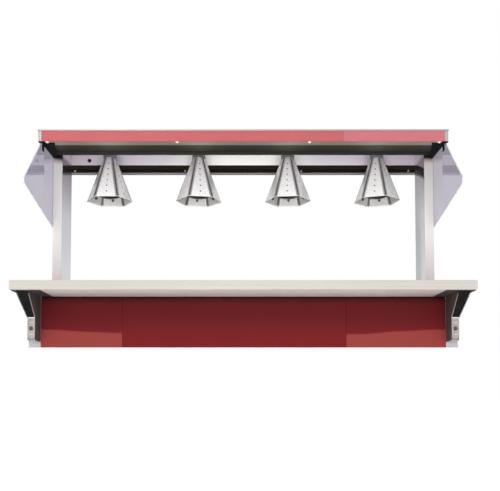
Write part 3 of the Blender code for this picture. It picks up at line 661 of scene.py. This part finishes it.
def shade_measures(node, axis):
    """A shade's rim and neck radius, and the direction of one corner, from its CAD node."""
    low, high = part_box(node)
    points = [v.co for v in NODES[node].data.vertices]
    foot = [co for co in points if co.z < low.z + 0.001]
    corner = max(foot, key=lambda co: (co.x - axis.x) ** 2 + (co.y - axis.y) ** 2)
    rim = math.hypot(corner.x - axis.x, corner.y - axis.y)
    turn = math.atan2(corner.y - axis.y, corner.x - axis.x)
    neck = max(math.hypot(co.x - axis.x, co.y - axis.y) for co in points if co.z > high.z - 0.0005)
    return rim, neck, turn


def shade_shell(rim, neck, turn, height):
    """The six-sided shell about its own axis, with a turned-in neck and rolled creases."""
    bm = bmesh.new()
    lip, mitre, shoulder = neck * NECK_LIP, SHADE_WALL * SHADE_MITRE, height - SHADE_WALL
    sections = [(lip, shoulder), (lip, height), (neck, height), (rim, 0.0), (rim - mitre, 0.0),
                (neck - mitre, shoulder)]
    angles = [turn + k * SIXTH_TURN for k in range(6)]
    rings = [[bm.verts.new((r * math.cos(a), r * math.sin(a), z)) for a in angles] for r, z in sections]
    join_rings(bm, rings, closed=True)
    bmesh.ops.recalc_face_normals(bm, faces=bm.faces)
    creases = [e for e in bm.edges if abs(e.verts[0].co.z - e.verts[1].co.z) > height * 0.8
               and min(v.co.xy.length for v in e.verts) > neck * 0.9]
    outside = [e for e in creases if max(v.co.xy.length for v in e.verts) > rim - SHADE_WALL * 0.5]
    inside = [e for e in creases if e not in outside]
    for edges, roll, segments in ((outside, CREASE_ROLL, 6), (inside, CREASE_ROLL_INSIDE, 5)):
        bmesh.ops.bevel(bm, geom=edges, offset=roll, segments=segments, profile=0.5, affect="EDGES",
                        clamp_overlap=True)
    bmesh.ops.recalc_face_normals(bm, faces=bm.faces)
    return bm


def shade_slot(face, axis, turn):
    """The material slot for a face of the shell: outside, inside, or a band of painted shade along a crease.
    """
    middle = face.calc_center_median().xy - axis.xy
    angle = math.atan2(middle.y, middle.x) - turn
    from_crease = abs((angle + TWELFTH_TURN) % SIXTH_TURN - TWELFTH_TURN)
    upright = abs(face.normal.z) < 0.9
    if middle.dot(face.normal.xy) <= 0:
        return CREASE if upright and from_crease < CREASE_INSIDE_ANGLE else INSIDE
    if upright and from_crease < CREASE_EDGE_ANGLE:
        return CREASE if from_crease < CREASE_ANGLE else CREASE_SOFT
    return OUTSIDE


def make_shade(number):
    """A hexagonal shade of thin sheet with rolled creases, a hemmed rim and rows of vent holes."""
    node = f"lamp_shade_{number}"
    low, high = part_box(node)
    collar_low, collar_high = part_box(f"lamp_collar_{number}")
    axis = (collar_low + collar_high) / 2
    foot = Vector((axis.x, axis.y, low.z))
    height = high.z - low.z
    rim, neck, turn = shade_measures(node, axis)
    bm = shade_shell(rim, neck, turn, height)
    for vert in bm.verts:
        vert.co += foot
    for face in bm.faces:
        face.material_index = shade_slot(face, axis, turn)
    shade = new_piece(f"shade_{number}", bm, "polished", BODY_OF[node], 30.0, node)
    # the inside's duller, darker finish and the two painted-shade crease bands
    for extra in ("shade_inner", "crease", "crease_soft"):
        shade.data.materials.append(MATERIALS[extra])

    cutter = bmesh.new()
    vent_shades = bmesh.new()
    slope = (rim - neck) * math.cos(TWELFTH_TURN) / height
    # dark discs within the wall make each vent hole, and a ring round it inside, read dark: painted shade
    vent_shade_profile = [(VENT_RADIUS, -0.0029), (VENT_RADIUS, -0.0013), (VENT_SHADE_RADIUS, -0.0013), (VENT_SHADE_RADIUS, -0.0034)]
    for k in range(6):
        middle = turn + (k + 0.5) * SIXTH_TURN
        outward = Vector((math.cos(middle), math.sin(middle), 0.0))
        normal = Vector((outward.x, outward.y, slope)).normalized()
        for hole in range(VENTS):
            level = height * (VENT_TOP - VENT_STEP * hole)
            across = (neck + (rim - neck) * (1 - level / height)) * math.cos(TWELFTH_TURN)
            place = facing(normal, Vector((axis.x, axis.y, low.z + level)) + outward * across)
            add_lathe(cutter, [(VENT_RADIUS, -0.006), (VENT_RADIUS, 0.006)], 12, place)
            add_lathe(vent_shades, vent_shade_profile, 12, place)
    cut_from(shade, cutter, 30.0)
    new_piece(f"shade_plugs_{number}", vent_shades, "vent_shade_black", BODY_OF[node], 40.0, None)

    hem = []
    for k in range(6):
        ends = [turn + (k + step) * SIXTH_TURN for step in (0, 1)]
        start, end = (Vector((math.cos(a), math.sin(a), 0.0)) * (rim - HEM_INSET) for a in ends)
        for share in (0.05, 0.35, 0.65, 0.95):
            hem.append(foot + start.lerp(end, share) + Vector((0.0, 0.0, HEM_HEIGHT)))
    bm = bmesh.new()
    add_tube(bm, hem, HEM_RADIUS)
    new_piece(f"shade_hem_{number}", bm, "polished", BODY_OF[node], 40.0, None)


COLLAR_RADIUS = 0.0285
KNURLS, KNURL_RADIUS, KNURL_HALF_LENGTH, KNURL_HEIGHT = 48, 0.0011, 0.005, 0.006
SET_SCREWS, SET_SCREW_HEIGHT = 3, 0.019
GLASS_TOP = 0.846  # where the bulb's glass goes into its threaded cap
THREAD_TURNS, THREAD_PITCH = 7, 0.0042


def make_collar(number, middle, low):
    """The collar, with a knurled ring and three set screws."""
    node = f"lamp_collar_{number}"
    new_piece(f"collar_{number}", node_bmesh(node), "collar", "frame", 35.0, node, 0.0005)
    bm = bmesh.new()
    for step in range(KNURLS):
        angle = 2 * math.pi * step / KNURLS
        out = Vector((math.cos(angle), math.sin(angle), 0.0))
        place = Vector((middle.x, middle.y, low.z + KNURL_HEIGHT)) + out * (COLLAR_RADIUS - 0.0002)
        knurl = [(KNURL_RADIUS, -KNURL_HALF_LENGTH), (KNURL_RADIUS, KNURL_HALF_LENGTH)]
        add_lathe(bm, knurl, 5, Matrix.Translation(place))
    for step in range(SET_SCREWS):
        angle = 2 * math.pi * step / SET_SCREWS - math.pi / 2
        out = Vector((math.cos(angle), math.sin(angle), 0.0))
        place = Vector((middle.x, middle.y, low.z + SET_SCREW_HEIGHT)) + out * COLLAR_RADIUS
        add_dome(bm, place, out, 0.0028, 0.0018)
    add_detail(f"collar_knurl_{number}", bm, "collar", 35.0)


def glass_profile(node, middle):
    """The outside of the bulb's glass as (radius, height) points, eased between the CAD's rings."""
    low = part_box(node)[0]
    points = [v.co for v in NODES[node].data.vertices]
    outer = []
    for level in sorted({round(co.z, 5) for co in points}):
        ring = [co for co in points if abs(co.z - level) < 2e-5]
        radius = max(math.hypot(co.x - middle.x, co.y - middle.y) for co in ring)
        if not outer or level - outer[-1][1] > 0.0014:
            outer.append((radius, level))
    glass = [(radius, level) for radius, level in outer if level < GLASS_TOP]
    profile = [(0.0006, low.z)]
    for first, second in zip(glass, glass[1:]):
        for share in (0.0, 0.34, 0.67):
            profile.append(tuple(a + (b - a) * share for a, b in zip(first, second)))
    profile.append(glass[-1])
    eased = [tuple((a + 2 * b + c) / 4 for a, b, c in zip(*three))
             for three in zip(profile, profile[1:], profile[2:])]
    return [profile[0], *eased, profile[-1]]


def make_bulb(number, middle):
    """The bulb's glass and its threaded cap."""
    node = f"lamp_bulb_{number}"
    place = Matrix.Translation((middle.x, middle.y, 0.0))
    bm = bmesh.new()
    add_lathe(bm, glass_profile(node, middle), 48, place)
    new_piece(f"bulb_{number}", bm, "lamp_glass", "frame", 60.0, node)
    thread = [(0.0120, GLASS_TOP - 0.0010)]
    for step in range(THREAD_TURNS):
        base = GLASS_TOP + step * THREAD_PITCH
        thread += [(0.0118, base), (0.0131, base + 0.0014), (0.0131, base + 0.0024), (0.0118, base + 0.0038)]
    thread += [(0.0100, 0.8765), (0.0040, 0.8790)]
    bm = bmesh.new()
    add_lathe(bm, thread, 32, place)
    add_detail(f"bulb_cap_{number}", bm, "brass")


for number in LAMPS:
    make_shade(number)
    collar_low, collar_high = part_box(f"lamp_collar_{number}")
    collar_middle = (collar_low + collar_high) / 2
    make_collar(number, collar_middle, collar_low)
    refine(f"lamp_socket_{number}", "porcelain", 0.0006)
    make_bulb(number, collar_middle)


# -------- fascia and front panel
def strip_with_joints(node, material, joints, bevel, reveal=0.0, width=0.0006):
    """A long laminate facing made of lengths that meet at hairline joints."""
    low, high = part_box(node)
    high.z -= reveal
    stations = [low.x, *joints, high.x]
    bm = bmesh.new()
    for start, end in zip(stations, stations[1:]):
        left = start + (width / 2 if start in joints else 0.0)
        right = end - (width / 2 if end in joints else 0.0)
        add_box(bm, (left, low.y, low.z), (right, high.y, high.z))
    for joint in joints:
        add_box(bm, (joint - width, low.y + 0.0012, low.z + 0.0002),
                (joint + width, high.y - 0.0002, high.z - 0.0002))
    new_piece(f"{node}.piece", bm, material, BODY_OF[node], 35.0, node, bevel)


def make_panel_packer():
    """The dark strip set back in the reveal above the front panel."""
    low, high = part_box("base_front_panel")
    bm = bmesh.new()
    add_box(bm, (low.x, low.y + 0.0045, high.z - REVEAL + PLATE_GAP), (high.x, high.y, high.z))
    add_detail("panel_packer", bm, "gap", 35.0, 0.0006)


strip_with_joints("canopy_fascia", "fascia", FASCIA_JOINTS, 0.0006)
# the right-hand board gets the painted sheen
finish_faces("canopy_fascia.piece", "fascia_end_sheen", lambda face: face.center.x > FASCIA_JOINTS[1])
strip_with_joints("base_front_panel", "body", (LEFT_JOINT, RIGHT_JOINT), 0.0008, REVEAL)
# the end boards also get the painted lit patch
finish_faces("base_front_panel.piece", "body_end", lambda face: not LEFT_JOINT < face.center.x < RIGHT_JOINT)
make_panel_packer()


# -------- canopy
# A painted-shadow plate's outline as (distance from the middle, y), cut round the end screw and the guard's
# clip.
SHADOW_PLATE = [(0.8365, -0.1175), (0.8110, -0.1175), (0.8110, -0.1035), (0.7715, -0.1035), (0.8160, 0.0925),
          (0.8275, 0.0925), (0.8275, -0.0670), (0.8052, -0.0670), (0.8052, -0.0910), (0.8275, -0.0910),
          (0.8275, -0.0990), (0.8365, -0.0990)]
SHADOW_PLATE_THICKNESS = 0.0012
ROOF_HEM = 0.0020
RIVET_RISE = 0.0014  # of the roof's rivets, which are let in so that they end level with the roof


def make_roof_details():
    """Rolled hems along the roof's front and rear, and rivets over the arms and along the beam."""
    low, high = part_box("canopy_roof")
    inset = ROOF_HEM + 0.0002
    bm = bmesh.new()
    for y, z in ((low.y + inset, high.z - 0.0255), (high.y - inset, high.z - 0.0110)):
        add_tube(bm, [(low.x + 0.001, y, z), (high.x - 0.001, y, z)], ROOF_HEM, 10, closed=False)
    add_detail("roof_hems", bm, "steel_x")
    bm = bmesh.new()
    for x in (-0.808, 0.808):
        for y in (0.105, 0.160, 0.215, 0.250):
            add_dome(bm, (x, y, high.z), (0, 0, 1), 0.0035, RIVET_RISE)
    for step in range(9):
        add_dome(bm, (-0.80 + 0.20 * step, 0.310, high.z), (0, 0, 1), 0.0030, 0.0012)
    rivets = add_detail("roof_rivets", bm, "zinc")
    rivets.location.z = -RIVET_RISE


def make_canopy_screw(number):
    """A slotted round-head screw with a washer, under the fascia, white as a painted glint."""
    node = f"canopy_screw_{number}"
    low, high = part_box(node)
    middle = (low + high) / 2
    bm = bmesh.new()
    add_dome(bm, (middle.x, middle.y, high.z), (0, 0, -1), 0.0062, 0.0040, washer=0.0074)
    screw = new_piece(f"screw_{number}", bm, "screw", "frame", 50.0, node)
    slot = bmesh.new()
    add_box(slot, (middle.x - 0.0090, middle.y - 0.0005, low.z - 0.004),
            (middle.x + 0.0090, middle.y + 0.0005, low.z + 0.0006))
    cut_from(screw, slot, 40.0)


def make_beam_details():
    """Clips and a dark strip of painted shade along the beam's lower edge, and rivets on its back."""
    low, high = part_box("rear_beam")
    trim_low, trim_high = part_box("beam_trim")
    bm = bmesh.new()
    for x in (-0.790, -0.273, 0.272, 0.775):
        add_box(bm, (x - 0.0045, trim_low.y - 0.0042, trim_low.z + 0.0090),
                (x + 0.0045, trim_low.y - 0.0020, low.z - 0.0006))
    add_detail("beam_clips", bm, "clip", 35.0, 0.0005)
    # a near-black strip that stands in for the shade along the beam's lower edge
    front, nose, rear = trim_low.y - 0.0018, trim_low.y - 0.0002, trim_high.y - 0.0022
    bottom, ledge, top = trim_low.z + 0.0112, trim_high.z - 0.0023, trim_high.z - 0.0001
    shade_strip = [(front, bottom), (rear, bottom), (rear, ledge), (nose, ledge), (nose, top), (front, top)]
    bm = bmesh.new()
    add_extrusion(bm, *([(x, y, z) for y, z in shade_strip] for x in (trim_low.x + 0.0005, trim_high.x - 0.0005)))
    add_detail("beam_shade_strip", bm, "beam_under", 35.0, 0.0004)
    bm = bmesh.new()
    for step in range(12):
        add_dome(bm, (-0.77 + 0.14 * step, high.y - 0.0002, low.z + 0.010), (0, 1, 0), 0.0030, 0.0011)
    add_detail("beam_rivets", bm, "zinc")


def make_shadow_plates():
    """A dark plate under each end of the canopy, standing in for the shadow there."""
    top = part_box("canopy_header")[0].z - PLATE_GAP
    for side, sign in SIDES:
        bm = bmesh.new()
        add_extrusion(bm, *([(sign * x, y, z) for x, y in SHADOW_PLATE] for z in (top - SHADOW_PLATE_THICKNESS, top)))
        add_detail(f"canopy_shadow_plate_{side}", bm, "dark_z", 35.0)


make_roof_details()
for number in CANOPY_SCREWS:
    make_canopy_screw(number)
make_beam_details()
make_shadow_plates()


# -------- posts, brackets, base
POST_FOOT_MARGIN = 0.014
POST_FOOT_THICKNESS, POST_SCREW_INSET = 0.0040, 0.007
WELD_RADIUS, WELD_HEIGHT = 0.0020, 0.0045
BRACKET_EDGE = 0.0016  # radius of the turned edges of an arm
# the bright lip and lines at the bracket's foot are painted highlights
LIP_INSET, LIP_HIGHLIGHTS = 0.0015, (0.030, 0.045, 0.088)  # heights of the bright lines over the lip
PLATE_THICKNESS, PLATE_REACH, PLATE_RIVETS = 0.0025, 0.046, (-0.385, -0.325, -0.265)
NUT_FACES = 6
SWITCH_BORE, THREAD_ROOT, THREAD_CREST = 0.0044, 0.0058, 0.0060


def make_post_details(side):
    """A weld bead round the post on its foot plate, and the plate's screws."""
    low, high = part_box(f"post_{side}")
    near, far = (Vector((low.x, low.y)), Vector((high.x, high.y)))
    near += Vector((POST_FOOT_MARGIN, POST_FOOT_MARGIN))
    far -= Vector((POST_FOOT_MARGIN, POST_FOOT_MARGIN))
    corners = [near, Vector((far.x, near.y)), far, Vector((near.x, far.y))]
    path = []
    for start, end in zip(corners, corners[1:] + corners[:1]):
        count = 8 if abs(end.x - start.x) > 0.001 else 30
        for step in range(count):
            point = start.lerp(end, (step + 0.5) / count)
            path.append((point.x, point.y, low.z + WELD_HEIGHT))
    bm = bmesh.new()
    add_tube(bm, path, WELD_RADIUS)
    add_detail(f"post_weld_{side}", bm, "zinc", 60.0)
    bm = bmesh.new()
    for x in (low.x + POST_SCREW_INSET, high.x - POST_SCREW_INSET):
        for y in (low.y + POST_SCREW_INSET, high.y - POST_SCREW_INSET, (low.y + high.y) / 2):
            add_dome(bm, (x, y, low.z + POST_FOOT_THICKNESS), (0, 0, 1), 0.0034, 0.0018)
    add_detail(f"post_screws_{side}", bm, "zinc")


def bracket_sides(side):
    """How far the upright's inner and outer side are from the middle."""
    low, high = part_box(f"bracket_upright_{side}")
    return sorted((abs(low.x), abs(high.x)))


def arm_flare(side):
    """How far the arm's nose reaches outwards."""
    low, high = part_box(f"bracket_arm_{side}")
    return max(abs(low.x), abs(high.x))


def make_bracket_beads(side, sign):
    """Turned edges along both sides of the arm."""
    low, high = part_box(f"bracket_arm_{side}")
    inner, outer = bracket_sides(side)
    foot = Vector((0.0, high.y, low.z))
    nose = Vector((0.0, low.y, high.z))
    along = (nose - foot).normalized()
    out = Vector((0.0, -abs(along.z), -abs(along.y)))
    bm = bmesh.new()
    for near, far in ((inner, inner), (outer, arm_flare(side))):
        start = foot + Vector((sign * near, 0.0, 0.0)) + along * 0.004 + out * 0.0004
        end = nose + Vector((sign * far, 0.0, 0.0)) - along * 0.016 + out * 0.0004
        add_tube(bm, [start, end], BRACKET_EDGE, closed=False)
    add_detail(f"bracket_beads_{side}", bm, "bracket_steel")


def make_bracket_lip(side, sign):
    """A bright lip at the upright's foot, with bright lines across the upright over it: painted highlights.
    """
    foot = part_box(f"bracket_arm_{side}")[0].z
    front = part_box(f"bracket_upright_{side}")[0].y
    inner, outer = bracket_sides(side)
    left, right = sorted((sign * (inner + LIP_INSET), sign * (outer - LIP_INSET)))
    bm = bmesh.new()
    add_box(bm, (left, front - 0.0030, foot - 0.0010), (right, front + 0.0002, foot + 0.0030))
    for level in LIP_HIGHLIGHTS:
        add_box(bm, (left + 0.004, front - 0.0008, level), (right - 0.004, front + 0.0004, level + 0.0016))
    add_detail(f"bracket_lip_{side}", bm, "bright", 35.0, 0.0006)


def make_bracket_plates(side, sign):
    """Dark plates of painted shade under the shelf on both sides of the arm, the inner one riveted."""
    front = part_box(f"bracket_arm_{side}")[0].y - 0.004
    inner = bracket_sides(side)[0]
    shelf_low, shelf_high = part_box("front_shelf")
    top = shelf_low.z - PLATE_GAP
    bottom = top - PLATE_THICKNESS
    bm = bmesh.new()
    for near, far in ((inner - PLATE_REACH, inner - 0.001), (arm_flare(side) + 0.001, shelf_high.x - 0.003)):
        left, right = sorted((sign * near, sign * far))
        add_box(bm, (left, front, bottom), (right, shelf_high.y - 0.006, top))
    for y in PLATE_RIVETS:
        add_dome(bm, (sign * (inner - 0.024), y, bottom), (0, 0, -1), 0.0045, 0.0022)
    add_detail(f"bracket_plate_{side}", bm, "cheek", 35.0, 0.0006)


def make_bracket_bolt(side):
    """A hex bolt with a washer through the upright."""
    node = f"bracket_bolt_{side}"
    low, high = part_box(node)
    middle = (low + high) / 2
    place = facing((0, -1, 0), (middle.x, high.y, middle.z))
    head = [(0.0056, 0.0012), (0.0058, 0.0016), (0.0058, 0.0044), (0.0050, 0.0052)]
    bm = bmesh.new()
    add_lathe(bm, [(0.0078, 0.0), (0.0078, 0.0009), (0.0072, 0.0012)], 28, place)
    add_lathe(bm, head, NUT_FACES, place, TWELFTH_TURN)
    new_piece(f"bolt_{side}", bm, "bolt", "frame", 35.0, node, 0.0003)


def make_rear_rivets():
    """Rivets round the edge of the rear panel."""
    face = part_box("base_rear_panel")[1].y - 0.0006
    places = [(-0.78 + 0.195 * step, z) for z in (0.018, 0.182) for step in range(9)]
    bm = bmesh.new()
    for x, z in (*places, (-0.80, 0.100), (0.80, 0.100)):
        add_dome(bm, (x, face, z), (0, 1, 0), 0.0032, 0.0006)
    add_detail("rear_rivets", bm, "zinc")


def make_switch():
    """Hex nut, lock ring and threaded bushing of the toggle switch."""
    node = "switch_bushing"
    low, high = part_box(node)
    middle = (low + high) / 2
    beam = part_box("rear_beam")[0].y
    place = facing((0, -1, 0), (middle.x, beam, middle.z))
    nut = [(0.0078, 0.0003), (0.0081, 0.0006), (0.0081, 0.0034), (0.0074, 0.0039)]
    bm = bmesh.new()
    add_lathe(bm, nut, NUT_FACES, place, TWELFTH_TURN)
    add_lathe(bm, [(0.0087, 0.0001), (0.0087, 0.0007), (0.0084, 0.0009)], 28, place)
    add_detail("switch_nut", bm, "black_paint", 30.0, 0.0002)
    reach = beam - low.y
    profile = [(SWITCH_BORE, -0.0020), (THREAD_CREST, -0.0020)]
    for step in range(6):
        base = 0.0036 + step * 0.0006
        profile += [(THREAD_ROOT, base), (THREAD_CREST, base + 0.0003)]
    profile += [(THREAD_ROOT, reach), (SWITCH_BORE + 0.0002, reach), (SWITCH_BORE, reach - 0.0004)]
    bm = bmesh.new()
    join_rings(bm, [circle(bm, radius, height, 24, place) for radius, height in profile], closed=True)
    new_piece("switch_thread", bm, "black_paint", "frame", 30.0, node)


for side in ("left", "right"):
    make_post_details(side)
for side, sign in SIDES:
    make_bracket_beads(side, sign)
    make_bracket_lip(side, sign)
    make_bracket_plates(side, sign)
    make_bracket_bolt(side)
make_rear_rivets()
make_switch()


# -------- guards
def make_guard(side, sign):
    """The clear sheet, with its polished edge as a band of its own, and its cap nuts."""
    node = f"glass_guard_{side}"
    refine(node, "acrylic")
    finish_faces(f"{node}.piece", "acrylic_edge", lambda face: abs(face.normal.x) < 0.5)
    low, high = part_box(node)
    outside = low.x if sign < 0 else high.x
    bm = bmesh.new()
    for z in (0.560, 0.835):
        for y in (0.135, 0.220):
            add_dome(bm, (outside, y, z), (sign, 0, 0), 0.0062, 0.0042, washer=0.0095)
    add_detail(f"guard_nuts_{side}", bm, "bright", 45.0)


for side, sign in SIDES:
    make_guard(side, sign)


# -------- floor, light and camera
FLOOR_HEIGHT = -0.75
FLOOR_HALF_SIZE = 40.0
PLINTH_HALF_LENGTH = 0.822
PLINTH_MARGIN = 0.004  # how far the plinth stays back from the base's faces
PLINTH_TOP = -0.0005
# greys of the light from straight below (0) over level (0.5) to straight above (1)
SKY = [(0.0, 0.02), (0.40, 0.03), (0.47, 0.35), (0.50, 0.76), (0.62, 0.72), (1.0, 0.48)]


def pale_object(name, bm, colour, glow):
    """A plain pale surface that isn't part of the object."""
    material = bpy.data.materials.new(name)
    material.use_nodes = True
    shader = material.node_tree.nodes["Principled BSDF"]
    shader.inputs["Base Color"].default_value = (*colour, 1.0)
    shader.inputs["Roughness"].default_value = 0.9
    shader.inputs["Emission Color"].default_value = (1.0, 1.0, 1.0, 1.0)
    shader.inputs["Emission Strength"].default_value = glow
    pale = object_from(name, bm)
    pale.data.materials.append(material)
    return pale


def add_stage():
    """The floor far below, and the white block that the base stands on."""
    bm = bmesh.new()
    bmesh.ops.create_grid(bm, x_segments=1, y_segments=1, size=FLOOR_HALF_SIZE)
    floor = pale_object("floor", bm, (0.80, 0.80, 0.80), 0.60)
    floor.location.z = FLOOR_HEIGHT
    floor.visible_glossy = False
    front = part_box("base_front_panel")[0].y + PLINTH_MARGIN
    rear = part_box("base_rear_panel")[1].y - PLINTH_MARGIN
    bm = bmesh.new()
    add_box(bm, (-PLINTH_HALF_LENGTH, front, FLOOR_HEIGHT), (PLINTH_HALF_LENGTH, rear, PLINTH_TOP))
    plinth = pale_object("plinth", bm, (0.9, 0.9, 0.9), 0.9)


def add_world():
    """Soft grey studio light from above and from the sides, and a white background."""
    world = bpy.data.worlds.new("studio")
    bpy.context.scene.world = world
    world.use_nodes = True
    nodes, link = world.node_tree.nodes, world.node_tree.links.new
    studio = nodes["Background"]
    coords = nodes.new("ShaderNodeTexCoord")
    split = nodes.new("ShaderNodeSeparateXYZ")
    link(coords.outputs["Generated"], split.inputs[0])
    ramp = nodes.new("ShaderNodeValToRGB")
    remap = nodes.new("ShaderNodeMapRange")
    remap.inputs["From Min"].default_value = -1.0
    link(split.outputs["Z"], remap.inputs["Value"])
    link(remap.outputs["Result"], ramp.inputs["Fac"])
    fill_ramp(ramp.color_ramp, SKY)
    link(ramp.outputs["Color"], studio.inputs["Color"])
    studio.inputs["Strength"].default_value = 1.0
    white = nodes.new("ShaderNodeBackground")
    white.inputs["Color"].default_value = (1.0, 1.0, 1.0, 1.0)
    path = nodes.new("ShaderNodeLightPath")
    mix = nodes.new("ShaderNodeMixShader")
    link(path.outputs["Is Camera Ray"], mix.inputs["Fac"])
    link(studio.outputs[0], mix.inputs[1])
    link(white.outputs[0], mix.inputs[2])
    link(mix.outputs[0], nodes["World Output"].inputs["Surface"])


def add_light(name, place, target, size, power, only=()):
    """An area light; with only, it lights just the pieces whose names start so."""
    light = bpy.data.lights.new(name, "AREA")
    light.shape = "RECTANGLE"
    light.size, light.size_y = size
    light.energy = power
    lamp = bpy.data.objects.new(name, light)
    lamp.location = place
    lamp.rotation_mode = "QUATERNION"
    lamp.rotation_quaternion = (Vector(target) - Vector(place)).to_track_quat("-Z", "Y")
    bpy.context.scene.collection.objects.link(lamp)
    if only:
        receivers = bpy.data.collections.new(f"{name}_receivers")
        for piece in bpy.context.scene.objects:
            if piece.name.startswith(only):
                receivers.objects.link(piece)
        lamp.light_linking.receiver_collection = receivers


def add_camera():
    """A low camera in front, tilted up a little, with its lens shifted as the framing needs."""
    camera = bpy.data.objects.new("camera", bpy.data.cameras.new("camera"))
    camera.data.lens = 52.2
    camera.data.sensor_width = 36.0
    camera.data.shift_x = 0.0134
    camera.data.shift_y = 0.218
    camera.location = (0.0, -3.024, -0.168)
    camera.rotation_euler = (math.radians(92.9), 0.0, 0.0)
    bpy.context.scene.collection.objects.link(camera)
    bpy.context.scene.camera = camera


add_stage()
add_world()
add_light("front", (0.0, -4.6, -0.1), (0.0, 0.0, 0.6), (3.4, 1.2), 50.0)
add_light("under_canopy", (0.0, -3.6, -0.60), (0.0, 0.2, 0.8), (2.6, 0.2), 115.0,
          ("rear_beam", "shade_", "collar_"))
add_light("key", (-1.6, -3.0, 3.2), (0.0, 0.0, 0.5), (2.4, 1.6), 30.0)
add_camera()
bpy.context.scene.view_settings.view_transform = "Standard"
